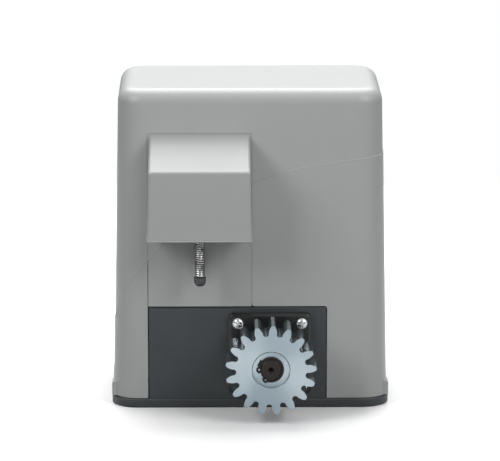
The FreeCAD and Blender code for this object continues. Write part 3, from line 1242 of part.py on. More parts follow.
def limit_hood(skin):
    """The limit switch's hood in one piece with the panel that fills the cover's slot."""
    plate = block("PanelBlock", (HOOD_LEFT, "-(plinth_d / 2)", "open_top"),
                  ("hood_w", "plinth_d / 2 - 40", "hood_top - open_top"))
    panel = common("Panel", plate, skin)
    sides = hood_profile("HoodSides", f"{HOOD_FACE_TOP} + 2", "0", "hood_w", HOOD_LEFT)
    block_form = common("HoodForm", sides, hood_front_outline())
    reach, low = value("-hood_reach"), value("hood_bottom")
    edge_back = value(HOOD_FACE_TOP) + 1

    def rounded(edge):
        box = edge.BoundBox
        return box.YMax < edge_back and box.ZMax > low + 1 and not (box.ZLength < 0.01
                                                                    and box.YMin > reach + 1)
    outer = soften("HoodOuter", block_form, "hood_round", rounded)
    hollow = hood_profile("HoodHollow", f"{HOOD_FACE_TOP} - cover_wall", "hood_wall",
                          "hood_w - 2 * hood_wall",
                          f"{HOOD_LEFT} + hood_wall")
    bush = rod("PivotBush", "pivot_dia / 2 + 3", "9", ("limit_x", "-(plinth_d / 2) + 3.5", "limit_z"),
               "+Y")
    posts = [rod(f"SwitchPost{i}", "3.5", "plate_y + plinth_d / 2 - 6.5",
                 (x, "-(plinth_d / 2) + 6.5", z), "+Y") for i, (x, z) in enumerate(SWITCH_POSTS)]
    lugs = []
    for i, x in enumerate(HOOD_LUGS):
        lugs.append(block(f"HoodLug{i}", (f"{x} - 7", WALL_INNER, "hood_lug_z - 8"),
                          ("14", "hood_lug_t", "34")))
        lugs.append(block(f"HoodLugRoot{i}", (f"{x} - 7", f"{WALL_INNER} - 2.5", "open_top"),
                          ("14", "4", "12")))
    tools = [rod("PivotHole", "pivot_dia / 2 + fit", "60", ("limit_x", "-hood_reach + 8", "limit_z"),
                 "+Y")]
    tools += screw_holes("HoodLugHole", HOOD_SCREW_SPOTS, "-Y", "small_screw_dia", "hood_lug_t")
    tools += screw_holes("PostHole", [(x, "plate_y", z) for x, z in SWITCH_POSTS], "-Y", "tiny_screw_dia",
                         "8")
    shell = cut("HoodShell", outer, hollow)
    solid = fuse("HoodSolid", panel, shell, bush, *posts, *lugs)
    return node(cut("LimitHood", solid, *tools), "limit_hood")


SWITCH_POSTS = [(f"limit_x + {i} * 27", f"limit_z + {j}") for i in SIDES for j in (-22, 26)]
SWITCH_LOW = "(limit_z - 11)"


def limit_lever():
    """The limit lever: pivot, spring holder, spring, tip and the rocker that works the switches."""
    pivot_low, pivot_high = "(limit_y - 6)", "(plate_y + plate_t + 2)"
    node(rod("LimitPivot", "pivot_dia / 2", f"{pivot_high} - {pivot_low}",
             ("limit_x", pivot_low, "limit_z"), "+Y"),
         "limit_pivot")
    hub = rod("HubBarrel", "pivot_dia / 2 + 3.5", "14", ("limit_x", "limit_y - 7", "limit_z"), "+Y")
    socket = rod("HubSocket", "spring_dia / 2 + 1.6", "12", ("limit_x", "limit_y", "limit_z"), "-Z")
    hole = rod("HubHole", "pivot_dia / 2", "20", ("limit_x", "limit_y - 10", "limit_z"), "+Y")
    seat = rod("HubSpringSeat", "spring_dia / 2", "9", ("limit_x", "limit_y", "limit_z - 4"), "-Z")
    node(cut("LimitHub", fuse("HubSolid", hub, socket), hole, seat), "limit_hub")
    outer, wire = "spring_dia / 2", "1.4"
    top = "(limit_z - 4.5)"
    node(turned("LimitSpring", "XZ_Plane",
                [(f"{outer} - {wire}", "spring_end"), (outer, "spring_end"), (outer, top),
                                            (f"{outer} - {wire}", top)], ("limit_x", "limit_y", "0")),
         "limit_spring")
    tip, core = "tip_dia / 2", f"({outer} - {wire})"
    low = "(spring_end - tip_len)"
    cap = turned("TipCap", "XZ_Plane",
                 [("0", low), (tip, low), (tip, "spring_end"), (core, "spring_end"),
                  (core, "spring_end + 6"), ("0", "spring_end + 6")],
                 ("limit_x", "limit_y", "0"))
    dress(cap, "Fillet", "tip_dia / 2 - 0.4", lies_at("z", value(low)))
    node(cap, "limit_tip")
    rocker_low = "(plate_y - 9)"
    arm = middle_block("RockerArm", ("limit_x", f"{rocker_low} + 3"), ("8", "6", "rocker_len - 4"),
                       "limit_z")
    end = rod("RockerEnd", "4", "6", ("limit_x", rocker_low, "limit_z + rocker_len - 4"), "+Y")
    boss = rod("RockerBoss", "pivot_dia / 2 + 3", "6", ("limit_x", rocker_low, "limit_z"), "+Y")
    hole = rod("RockerHole", "pivot_dia / 2", "8", ("limit_x", f"{rocker_low} - 1", "limit_z"), "+Y")
    node(cut("LimitRocker", fuse("RockerSolid", arm, end, boss), hole), "limit_rocker")


def limit_switches():
    """The switch plate with its two microswitches and their sprung levers."""
    plate = block("PlateBlock", ("limit_x - 32", "plate_y", "limit_z - 28"), ("64", "plate_t", "60"))
    rounded = soften("PlateRound", plate, "4", spans("y", 0.5))
    tools = [rod("PlatePivotHole", "pivot_dia / 2 + fit", "plate_t + 2",
                 ("limit_x", "plate_y - 1", "limit_z"), "+Y")]
    tools += screw_holes("PlateHole", [(x, "plate_y - 1", z) for x, z in SWITCH_POSTS], "+Y",
                         "tiny_screw_dia",
                         "plate_t + 2")
    node(cut("SwitchPlate", rounded, *tools), "switch_plate")
    bodies = []
    for side in SIDES:
        low_x = f"limit_x + {side} * switch_off" + (" - switch_w" if side < 0 else "")
        case = block(f"SwitchCase{side + 1}", (low_x, "plate_y - switch_t", SWITCH_LOW),
                     ("switch_w", "switch_t", "switch_tall"))
        plunger = rod(f"Plunger{side + 1}", "1", "3",
                      (f"limit_x + {side} * (switch_off - 1)", "plate_y - switch_t / 2",
                                                         f"{SWITCH_LOW} + 13"),
                      "+X" if side > 0 else "-X")
        tab_x = f"limit_x + {side} * (switch_off + switch_w)" + (" - 5" if side < 0 else "")
        tabs = [block(f"Tab{side + 1}{i}", (tab_x, "plate_y - switch_t / 2 - 0.4", f"{SWITCH_LOW} + {z}"),
                      ("5", "0.8", "4"))
                for i, z in enumerate((3, 12, 21))]
        bodies.append(fuse(f"SwitchBody{side + 1}", case, plunger, *tabs))
    node(fuse("Microswitches", *bodies), "microswitches")
    for side, label in zip(SIDES, ("left", "right")):
        low_x = f"limit_x + {side} * (switch_off - 2)" + (" - blade_t" if side > 0 else "")
        blade = block(f"Blade{label}", (low_x, "plate_y - switch_t / 2 - 2.5", f"{SWITCH_LOW} + 2"),
                      ("blade_t", "5", "blade_len"))
        roll = rod(f"BladeRoll{label}", "0.85", "5", (f"limit_x + {side} * (switch_off - 1.1)",
                                                      "plate_y - switch_t / 2 - 2.5",
                                                      f"{SWITCH_LOW} + 2.3"), "+Y")
        foot_x = f"limit_x + {side} * (switch_off - 1.1)" + (" - 1" if side > 0 else "")
        foot = block(f"BladeFoot{label}", (foot_x, "plate_y - switch_t / 2 - 2.5", f"{SWITCH_LOW} + 2"),
                     ("1", "5", "blade_t"))
        node(fuse(f"SwitchLever{label.title()}", blade, foot, roll), f"switch_lever_{label}")


# ---- electrics ------------------------------------------------------------------

def board_carrier():
    """The moulded plate that carries the circuit board, on two feet."""
    plate = soften("CarrierRound", block("CarrierBlock", ("-carrier_half", "carrier_y", "carrier_low"),
                                         ("2 * carrier_half", "carrier_t", "carrier_tall")), "6",
                   spans("y", 1))
    solids = [plate]
    for side in SIDES:
        low_x = "-carrier_half" if side < 0 else "carrier_half - carrier_foot"
        solids.append(block(f"CarrierLeg{side + 1}", (low_x, "carrier_y", "plinth_t"),
                            ("carrier_foot", "carrier_t", "carrier_low - plinth_t + 12")))
        solids.append(block(f"CarrierFoot{side + 1}", (low_x, "carrier_y", "plinth_t"),
                            ("carrier_foot", "carrier_t + 8", "carrier_t")))
    for i, (x, z) in enumerate(BOARD_CORNERS):
        solids.append(rod(f"Standoff{i}", "3.5", "standoff + 1", (x, f"{BOARD_BACK} - standoff - 1", z),
                          "+Y"))
    for i, z in enumerate(("carrier_low + 4", "carrier_low + carrier_tall - 6")):
        solids.append(block(f"CarrierRib{i}", ("-carrier_half + 8", "carrier_y - 4", z),
                            ("2 * carrier_half - 16", "5", "2")))
    tools = screw_holes("BoardScrewHole", [(x, BOARD_BACK, z) for x, z in BOARD_CORNERS], "-Y",
                        "tiny_screw_dia",
                        "standoff + carrier_t")
    tools += screw_holes("CarrierHole", CARRIER_SCREW_SPOTS, "-Z", "small_screw_dia", "carrier_t + 1")
    return node(cut("BoardCarrier", fuse("CarrierSolid", *solids), *tools), "board_carrier")


BOARD_CORNERS = [(f"{i} * (board_w / 2 - corner_hole)", f"board_z + {j} * (board_tall / 2 - corner_hole)")
                 for i in SIDES for j in SIDES]
BOARD_FACE = f"({BOARD_BACK} + board_t)"


def on_board(name, x, z, width, deep, tall):
    """A component on the board's face, centred at x and z from the board's middle."""
    return block(name, (f"{x} - {width} / 2", BOARD_FACE, f"board_z + {z} - {tall} / 2"),
                 (width, deep, tall))


def control_board():
    """The circuit board with its terminals, relays, capacitors and fuse."""
    slab = block("BoardSlab", ("-board_w / 2", BOARD_BACK, "board_z - board_tall / 2"),
                 ("board_w", "board_t", "board_tall"))
    holes = screw_holes("BoardHole", [(x, f"{BOARD_BACK} - 1", z) for x, z in BOARD_CORNERS], "+Y",
                        "tiny_screw_dia", "board_t + 2")
    node(cut("ControlBoard", slab, *holes), "control_board")
    blocks = []
    for i in range(3):
        middle = f"{i - 1} * terminal_pitch"
        body = on_board(f"TerminalBody{i}", middle, "(-terminal_z)", "terminal_w", "terminal_deep",
                        "terminal_tall")
        mouths = [on_board(f"TerminalMouth{i}{j}", f"{middle} + {j} * wire_pitch",
                           "(1 - terminal_z - terminal_tall / 2)", "3.4", "(terminal_deep - 2)", "4")
                  for j in range(-3, 4)]
        blocks.append(cut(f"Terminal{i}", body, *mouths))
    node(fuse("BoardTerminals", *blocks), "board_terminals")
    relays = [on_board(f"RelayCase{i}", f"(-relay_x) + {i - 1} * relay_pitch", "relay_z",
                       "relay_w", "relay_w", "relay_tall") for i in range(3)]
    rounds = [soften(f"RelayRound{i}", case, "1", spans("y", 5)) for i, case in enumerate(relays)]
    node(fuse("BoardRelays", *rounds), "board_relays")
    spots = (("-can_x", "can_z"), ("-can_x", "(can_z - can_pitch)"), ("(can_pitch - 2 - can_x)", "can_z"))
    cans = [rod(f"Can{i}", "can_dia / 2", "can_tall", (x, BOARD_FACE, f"board_z + {z}"), "+Y")
            for i, (x, z) in enumerate(spots)]
    node(fuse("BoardCapacitors", *cans), "board_capacitors")
    ends = [on_board(f"FuseClip{side + 1}", f"(-fuse_x) + {side} * (fuse_len / 2 - 2)", "(-low_row)",
                     "4", "clip_side", "clip_side") for side in SIDES]
    glass = rod("FuseGlass", "fuse_dia / 2", "fuse_len",
                ("-fuse_x - fuse_len / 2", f"{BOARD_FACE} + 4", "board_z - low_row"), "+X")
    node(fuse("BoardFuse", *ends, glass), "board_fuse")


def board_fittings():
    """The heat sink, the receiver card and the programming button on the circuit board."""
    base = on_board("SinkBase", "sink_x", "sink_z", "sink_w", "sink_base", "sink_tall")
    fins = [on_board(f"SinkFin{i}", f"sink_x + {i - 3} * fin_pitch", "sink_z", "fin_t", "fin_deep",
                     "sink_tall")
            for i in range(7)]
    node(fuse("HeatSink", base, *fins), "heat_sink")
    card = on_board("ReceiverCard", "card_x", "(-card_z)", "card_w", "card_t", "card_tall")
    bind(card, **{"Placement.Base.y": f"{BOARD_FACE} + card_off"})
    header = on_board("ReceiverHeader", "card_x", "(2 - card_z - card_tall / 2)", "(card_w - 4)",
                      "card_off", "3")
    node(fuse("ReceiverModule", card, header), "receiver_module")
    body = on_board("ButtonBody", "press_x", "(-low_row)", "press_side", "press_deep", "press_side")
    at = ("press_x", f"{BOARD_FACE} + 0.5", "board_z - low_row")
    well = rod("ButtonWell", "press_dia / 2 + 0.1", "press_deep", at, "+Y")
    node(cut("ButtonCase", body, well), "button_case")
    raised = ("press_x", f"{BOARD_FACE} + 0.5 + button_travel + 0.1", "board_z - low_row")
    node(rod("ProgramButton", "press_dia / 2", "press_deep + 0.6", raised, "+Y"), "program_button")


def transformer():
    """The mains transformer on the base: stacked core, coil and a sheet strap with two feet."""
    low = "(plinth_t + 2)"
    core = middle_block("CoreStack", ("tx_x", "tx_y"), ("tx_w", "20", "tx_tall"), low)
    windows = [middle_block(f"CoreWindow{side + 1}", (f"tx_x + {side} * 14", "tx_y"),
                            ("9", "24", "tx_tall - 18"),
                            f"{low} + 9") for side in SIDES]
    node(cut("TransformerCore", core, *windows), "transformer_core")
    coil = soften("CoilBlockRound",
                  middle_block("CoilBlock", ("tx_x", "tx_y"), ("37", "tx_d", "tx_tall - 18"),
                                                 f"{low} + 9"), "4", spans("z", 10))
    leg = middle_block("CoilLeg", ("tx_x", "tx_y"), ("19", "20", "tx_tall"), low)
    node(cut("TransformerCoil", coil, leg), "transformer_coil")
    feet = []
    for side in SIDES:
        feet.append(middle_block(f"StrapFoot{side + 1}", ("tx_x", f"tx_y + {side} * (tx_d / 2 + 4)"),
                                 ("10", "10", "bracket_t"), low))
        feet.append(middle_block(f"StrapLeg{side + 1}",
                                 ("tx_x", f"tx_y + {side} * (tx_d / 2 + bracket_t / 2)"),
                                 ("10", "bracket_t", "tx_tall + bracket_t"), low))
    top = middle_block("StrapTop", ("tx_x", "tx_y"), ("10", "tx_d + 2 * bracket_t", "bracket_t"),
                       f"{low} + tx_tall")
    holes = screw_holes("StrapHole", TX_SCREW_SPOTS, "-Z", "small_screw_dia", "bracket_t + 1")
    trim = middle_block("StrapTrim", ("tx_x", "tx_y"), ("12", "tx_d", "tx_tall"), low)
    node(cut("TransformerStrap", fuse("StrapSolid", *feet, top), trim, *holes), "transformer_strap")


def motor_capacitor():
    """The motor's run capacitor and the clamp that holds it to the base."""
    rad, low = "cap_dia / 2", "(plinth_t + 2)"
    high = f"({low} + cap_tall)"
    points = [("0", low), (f"{rad} - 1.5", low), (rad, f"{low} + 1.5"), (rad, f"{high} - 4"),
              (f"{rad} - 1.5", high),
              (f"{rad} - 3", high), (f"{rad} - 3", f"{high} - 1.5"), ("0", f"{high} - 1.5")]
    can = turned("CapCan", "XZ_Plane", points, ("cap_x", "cap_y", "0"))
    tabs = [middle_block(f"CapTab{side + 1}", (f"cap_x + {side} * 6", "cap_y"), ("0.8", "6.3", "10"),
                         f"{high} - 3")
            for side in SIDES]
    node(fuse("MotorCapacitor", can, *tabs), "motor_capacitor")
    band = rod("ClampBand", f"{rad} + bracket_t", "10", ("cap_x", "cap_y", "plinth_t + 26"))
    leg = block("ClampLeg", (f"cap_x - {rad} - 3 - bracket_t", "cap_y - 6", "plinth_t"),
                ("bracket_t", "12", "36"))
    bridge = block("ClampBridge", (f"cap_x - {rad} - 3", "cap_y - 6", "plinth_t + 26"), ("6", "12", "10"))
    foot = block("ClampFoot", (f"cap_x - {rad} - 12", "cap_y - 6", "plinth_t"), ("9", "12", "bracket_t"))
    bore = rod("ClampBore", rad, "40", ("cap_x", "cap_y", "plinth_t"))
    pad_room = rod("ClampPadRoom", f"{rad} + 2", "3", ("cap_x", "cap_y", "plinth_t - 1"))
    holes = screw_holes("ClampHole", CLAMP_SCREW_SPOTS, "-Z", "small_screw_dia", "bracket_t + 1")
    node(cut("CapacitorClamp", fuse("ClampSolid", band, leg, bridge, foot), bore, pad_room, *holes),
         "capacitor_clamp")


def cable_grommet():
    """The rubber grommet in the base's cable entry."""
    hole, bore = "entry_dia / 2", "entry_bore / 2"
    points = [(bore, "2"), (hole, "2"), (hole, "plinth_t"), (f"{hole} + 3.5", "plinth_t"),
              (f"{hole} + 3.5", "plinth_t + 2"), (f"{bore} + 2", "plinth_t + 5"), (bore, "plinth_t + 5")]
    node(turned("CableGrommet", "XZ_Plane", points, ("entry_x", "entry_y", "0")), "cable_grommet")


def levelling_screws():
    """The four grub screws that level the base, with a hexagon socket in each end."""
    grubs = []
    for i, (sx, sy) in enumerate((sx, sy) for sx in SIDES for sy in SIDES):
        x, y = f"{sx} * jack_x", f"{sy} * jack_y"
        grub = rod(f"Grub{i}", "jack_dia / 2", "jack_len", (x, y, "0.5"))
        socket = DOC.addObject("Part::Prism", f"GrubSocket{i}")
        bind(socket, Circumradius="2.3", Height="5")
        socket.Polygon = 6
        place(socket, x, y, "0.5 + jack_len - 4")
        grubs.append(cut(f"GrubCut{i}", grub, socket))
    node(fuse("LevellingScrews", *grubs), "levelling_screws")


def fastener_sets():
    """The screws, one set for each size and job."""
    screw_set("flange_screws", screw_solids("FlangeScrew", FLANGE_SPOTS, "+Y", "flange_t + face_wall",
                                            "flange_screw_dia", "flange_head_dia", "flange_head_t"))
    screw_set("gear_case_screws",
              screw_solids("CaseScrew", [(x, y, LID_TOP) for x, y in CASE_CORNERS], "-Z",
                                               "lid_t + gasket_t + 13", "lid_screw_dia", "lid_head_dia",
                           "lid_head_t"))
    screw_set("m3_screws",
              screw_solids("SwitchScrew", [(x, "plate_y + plate_t", z) for x, z in SWITCH_POSTS], "-Y",
                           "plate_t + 7", *SMALLER_SCREW),
              screw_solids("BoardScrew", [(x, BOARD_FACE, z) for x, z in BOARD_CORNERS], "-Y",
                           "board_t + standoff", *SMALLER_SCREW))
    screw_set("m4_screws",
              screw_solids("HoodScrew", HOOD_SCREW_SPOTS, "-Y", "hood_lug_t + 4.5", *SMALL_SCREW),
              screw_solids("CarrierScrew", CARRIER_SCREW_SPOTS, "-Z", "carrier_t + 4.5", *SMALL_SCREW),
              screw_solids("BracketScrew", TX_SCREW_SPOTS + CLAMP_SCREW_SPOTS, "-Z", "bracket_t + 4",
                           *SMALL_SCREW))
    seat = f"({COVER_HALF_W} + boss_proud - side_head_t - 0.55)"
    groups = []
    for side, inward in zip(SIDES, ("+X", "-X")):
        spots = [(f"{side} * {seat}", y, "side_screw_z") for y in ("boss_front_y", "boss_rear_y")]
        groups.append(screw_solids(f"SideScrew{side + 1}", spots, inward, "12", "side_screw_dia",
                                   "side_head_dia",
                                   "side_head_t"))
    screw_set("cover_screws", *groups)


SMALL_SCREW = ("small_screw_dia", "small_head_dia", "small_head_t")
SMALLER_SCREW = ("tiny_screw_dia", "tiny_head_dia", "tiny_head_t")


# ---- the whole motor -------------------------------------------------------------

def check(thing):
    """Stops with a plain message if a sub-part didn't come out as a valid solid."""
    shape = thing.Shape
    if shape.isNull() or not shape.isValid() or not shape.Solids:
        raise RuntimeError(f"{thing.Label} has no valid solid")


def main():
    """Builds every sub-part, checks it and writes its STEP file."""
    skin, outside = cover_skin()
    cover(skin, outside)
    base_housing()
    output_shaft()
    output_key()
    drive_pinion()
    pinion_circlip()
    bearing_flange()
    oil_seal()
    bearing("front_bearing", "XY_Plane", ("shaft_x", FRONT_FACE, "shaft_z"), "front_brg_dia",
            "front_brg_t", "shaft_dia")
    bearing("rear_bearing", "XY_Plane", ("shaft_x", TAIL_BRG, "shaft_z"), "rear_brg_dia", "rear_brg_t",
            "tail_dia")
    worm_wheel()
    clutch_ring()
    clutch_pin()
    release_parts()
    gear_case_gasket()
    gear_case_lid()
    worm_shaft(motor())
    limit_hood(skin)
    limit_lever()
    limit_switches()
    board_carrier()
    control_board()
    board_fittings()
    transformer()
    motor_capacitor()
    cable_grommet()
    levelling_screws()
    fastener_sets()
    DOC.recompute()
    failed = [thing.Name for thing in DOC.Objects if "Invalid" in thing.State or "Error" in thing.State]
    if failed:
        raise RuntimeError(f"objects failed: {failed}")
    os.makedirs("parts", exist_ok=True)
    for thing in NODES:
        check(thing)
    for thing in NODES:
        thing.Shape.exportStep(f"parts/{thing.Label}.step")
    print(f"{len(NODES)} sub-parts written")


main()
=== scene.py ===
"""Looks of a sliding gate motor: finishes for its solids, the pieces that repeat, the light and the camera.

Lengths in the dataclasses are millimetres and are turned to metres where a mesh is made. +X is to the right,
-Y towards the pinion, +Z up, and the origin is the middle of the base's underside.
"""

import logging
import math
from collections.abc import Callable, Iterable, Sequence
from dataclasses import dataclass, field, replace
from enum import Enum
from functools import cache

import bmesh
import bpy
from mathutils import Matrix, Vector


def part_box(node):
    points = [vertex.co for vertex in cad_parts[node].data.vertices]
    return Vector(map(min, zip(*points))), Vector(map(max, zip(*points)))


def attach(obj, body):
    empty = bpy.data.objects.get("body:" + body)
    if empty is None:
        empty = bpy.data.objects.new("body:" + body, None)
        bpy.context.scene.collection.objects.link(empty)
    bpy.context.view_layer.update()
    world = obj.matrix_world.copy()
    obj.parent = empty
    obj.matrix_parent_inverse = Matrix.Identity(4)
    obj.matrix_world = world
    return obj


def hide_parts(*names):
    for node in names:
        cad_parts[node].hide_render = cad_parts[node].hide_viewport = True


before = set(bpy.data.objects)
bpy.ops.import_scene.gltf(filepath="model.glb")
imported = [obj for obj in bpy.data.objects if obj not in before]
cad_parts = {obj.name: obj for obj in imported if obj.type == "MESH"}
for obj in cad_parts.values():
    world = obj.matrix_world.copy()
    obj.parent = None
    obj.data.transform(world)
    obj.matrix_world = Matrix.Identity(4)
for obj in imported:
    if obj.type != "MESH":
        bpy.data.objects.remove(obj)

LOG = logging.getLogger("gate_motor")
MM = 0.001

# a point on the output shaft's axis, in millimetres
SHAFT = (16.5, 0.0, 48.0)
# the board's normal, away from its back
OFF_BOARD = Vector((0, 1, 0))
# width of the soft clouds in every tint, in millimetres
CLOUDS = 35
# how rough the hobbed flanks of a faced piece are, against its faces
FLANK_ROUGHNESS = 0.55
# share of the fans of painted sheen in the tint of a faced piece, and where they start about the axis, in radians; they
# are painted highlight and shade, fixed to the piece rather than to the light
PAINTED_SHEEN_SHARE = 0.6
PAINTED_SHEEN_START = 2.1
# edges turned by more than this are drawn sharp, in radians
SHARP = math.radians(32)
# corners closer than this are one, in metres
WELD = 1e-6
SCREW_SIZES = ("Head Diameter", "Head Height", "Shank Diameter", "Shank Length")
BIT_SIZES = ("Width", "Depth", "Height", "Edge")

Edge = bmesh.types.BMEdge
Node = bpy.types.Node
Socket = bpy.types.NodeSocket
Tree = bpy.types.NodeTree
Triple = tuple[float, float, float]


def linear(colour: str) -> tuple[float, float, float, float]:
    """Turns an sRGB hex colour to the linear one that shaders take.

    Args:
        colour: Six hex digits after a hash.

    Returns:
        Linear red, green and blue, and an alpha of 1.
    """
    parts = (int(colour[i:i + 2], 16) / 255 for i in (1, 3, 5))
    red, green, blue = (c / 12.92 if c <= 0.04045 else ((c + 0.055) / 1.055) ** 2.4 for c in parts)
    return red, green, blue, 1.0


def add(tree: Tree, kind: str, inputs: dict[str | int, object] | None = None, **settings: object) -> Node:
    """Adds a node, sets its properties, and fills or links its inputs.

    Args:
        tree: The tree that gets the node.
        kind: The node's type.
        inputs: Values or output sockets, by input name or number.
        settings: The node's own properties.

    Returns:
        The new node.
    """
    node = tree.nodes.new(kind)
    for name, setting in settings.items():
        setattr(node, name, setting)
    for name, value in (inputs or {}).items():
        if isinstance(value, Socket):
            tree.links.new(value, node.inputs[name])
        else:
            node.inputs[name].default_value = value
    return node


def noise_scale(size: float) -> float:
    """Scale of a noise texture whose features measure size millimetres."""
    return 1 / (size * MM)


def wave_scale(period: float) -> float:
    """Scale of a wave texture that repeats every period millimetres."""
    return math.pi / 10 / (period * MM)


class Surface(Enum):
    """How a surface was made, which sets the pattern of its relief and tint."""

    MOULDED = "pressed against a spark-eroded tool"
    CAST = "die cast, with the skin of the die"
    GROUND = "ground or drawn along one axis"
    TURNED = "turned about an axis"
    FACED = "faced in the lathe, its flanks cut along the axis"
    LAMINATED = "a stack of punched sheets"
    PLATED = "plated, with the bath's soft clouds"
    MASKED = "a circuit board under its solder mask"
    WRAPPED = "tape wound about the vertical"
    PLAIN = "drawn or blown smooth"


@dataclass(frozen=True)
class Finish:
    """A material and how its surface was made.

    Attributes:
        name: Common name of the material.
        colour: Main colour, sRGB hex.
        shade: Colour of the pattern's hollows, sRGB hex.
        surface: How it was made.
        pitch: Spacing of the pattern, in millimetres.
        relief: Height of the pattern, in millimetres.
        roughness: Mean roughness.
        spread: How far the roughness strays from its mean.
        metallic: 1 for bare metal.
        ior: Refractive index, left at the default for a metal.
        coat: Weight of a clear coat.
        along: Axis of turning or grinding, in the part's frame.
        about: A point on the axis of turning, in millimetres.
        blend: Share of the pattern in the colour.
        clear: Transmission of glass.
        flank: Colour of the sides of a faced piece, sRGB hex.
        brushed: How far the tool marks stretch the sheen across themselves.
    """

    name: str
    colour: str
    shade: str
    surface: Surface = Surface.MOULDED
    pitch: float = 1.5
    relief: float = 0.02
    roughness: float = 0.45
    spread: float = 0.08
    metallic: float = 0.0
    ior: float = 1.5
    coat: float = 0.0
    along: str = "Z"
    about: Triple = (0.0, 0.0, 0.0)
    blend: float = 0.5
    clear: float = 0.0
    flank: str = ""
    brushed: float = 0.0

    def rings(self, tree: Tree, centred: Socket) -> Socket:
        """Adds the tool marks that run round the axis and gives their height."""
        return add(tree, "ShaderNodeTexWave",
                   {"Vector": centred, "Scale": wave_scale(self.pitch), "Distortion": 0.6, "Detail": 2.0,
                    "Detail Scale": 3.0}, wave_type="RINGS", rings_direction=self.along).outputs["Fac"]

    def painted_sheen_fans(self, tree: Tree, centred: Socket) -> Socket:
        """Adds two broad fans of painted sheen about an axis along Y: painted highlight and shade in place of the
        fanned sheen that a turned face throws, fixed to the piece rather than to the light.

        Args:
            tree: The material's tree.
            centred: The place, measured from the axis.

        Returns:
            A socket from 0 to 1.
        """
        flat = add(tree, "ShaderNodeMapping", {"Vector": centred, "Rotation": (math.pi / 2, 0.0, PAINTED_SHEEN_START)})
        angle = add(tree, "ShaderNodeTexGradient", {"Vector": flat.outputs["Vector"]}, gradient_type="RADIAL")
        swing = add(tree, "ShaderNodeMath", {0: times(tree, angle.outputs["Fac"], 4 * math.pi)}, operation="SINE")
        return add(tree, "ShaderNodeMapRange", {"Value": swing.outputs[0], "From Min": -1.0}).outputs[0]

    def strokes(self, tree: Tree, place: Socket) -> Socket:
        """Adds the scratches that run along the axis.

        Args:
            tree: The material's tree.
            place: The place in the object's frame.

        Returns:
            Their height, from 0 to 1.
        """
        long = [1.0, 1.0, 1.0]
        long["XYZ".index(self.along)] = 0.04
        drawn = add(tree, "ShaderNodeMapping", {"Vector": place, "Scale": long})
        return add(tree, "ShaderNodeTexNoise", {"Vector": drawn.outputs["Vector"], "Scale": noise_scale(self.pitch),
                                                "Detail": 4.0}).outputs["Fac"]

    def faces_axis(self, tree: Tree) -> Socket:
        """Adds a test that tells faces from flanks.

        Args:
            tree: The material's tree.

        Returns:
            A socket that is 1 where the surface looks along the axis and 0 on the flanks.
        """
        normal = add(tree, "ShaderNodeSeparateXYZ", {0: add(tree, "ShaderNodeNewGeometry").outputs["True Normal"]})
        size = add(tree, "ShaderNodeMath", {0: normal.outputs["XYZ".index(self.along)]}, operation="ABSOLUTE")
        return add(tree, "ShaderNodeMath", {0: size.outputs[0], 1: 0.9}, operation="GREATER_THAN").outputs[0]

    def pattern(self, tree: Tree) -> Socket:
        """Adds the nodes of the surface's pattern.

        Args:
            tree: The material's tree.

        Returns:
            A socket from 0 in the hollows to 1 on the crests.
        """
        place = add(tree, "ShaderNodeTexCoord").outputs["Object"]
        moved = add(tree, "ShaderNodeMapping", {"Vector": place, "Location": [-c * MM for c in self.about]})
        centred = moved.outputs["Vector"]
        if self.surface is Surface.TURNED:
            return self.rings(tree, centred)
        if self.surface is Surface.GROUND:
            return self.strokes(tree, place)
        if self.surface is Surface.FACED:
            # on the faces the lathe's rings are mixed with the fans of painted sheen, and the flanks get the hob's
            # strokes
            face = add(tree, "ShaderNodeMix", {0: PAINTED_SHEEN_SHARE, 2: self.rings(tree, centred), 3: self.painted_sheen_fans(tree, centred)})
            either = add(tree, "ShaderNodeMix", {0: self.faces_axis(tree), 2: self.strokes(tree, place),
                                                 3: face.outputs[0]})
            return either.outputs[0]
        bands = {Surface.LAMINATED: (0.25, 3.0, "SIN"), Surface.WRAPPED: (0.8, 1.0, "SAW")}
        if self.surface in bands:
            waver, detail, profile = bands[self.surface]
            return add(tree, "ShaderNodeTexWave",
                       {"Vector": place, "Scale": wave_scale(self.pitch), "Distortion": waver, "Detail": detail},
                       bands_direction=self.along, wave_profile=profile).outputs["Fac"]
        if self.surface is Surface.MASKED:
            flat = add(tree, "ShaderNodeMapping", {"Vector": place, "Rotation": (math.pi / 2, 0, 0)})
            return add(tree, "ShaderNodeTexBrick",
                       {"Vector": flat.outputs["Vector"], "Scale": 1 / MM, "Brick Width": self.pitch * 4,
                        "Row Height": self.pitch, "Mortar Size": self.pitch * 0.17, "Mortar Smooth": 0.2},
                       offset=0.37, squash=0.6, squash_frequency=3).outputs["Fac"]
        detail = {Surface.CAST: 6.0, Surface.PLATED: 5.0}.get(self.surface, 2.0)
        return add(tree, "ShaderNodeTexNoise", {"Vector": place, "Scale": noise_scale(self.pitch), "Detail": detail,
                                                "Roughness": 0.6}).outputs["Fac"]

    def material(self) -> bpy.types.Material:
        """Builds the material, or gives the one already built.

        Returns:
            The material, whose colour, roughness and relief follow the pattern.
        """
        title = f"{self.name} {self.surface.name.lower()} {self.along} {self.about[0]:.0f} {self.about[2]:.0f}"
        known = bpy.data.materials.get(title)
        if known:
            return known
        made = bpy.data.materials.new(title)
        made.use_nodes = True
        tree = made.node_tree
        shader = tree.nodes["Principled BSDF"]
        crest = self.pattern(tree)
        place = add(tree, "ShaderNodeTexCoord").outputs["Object"]
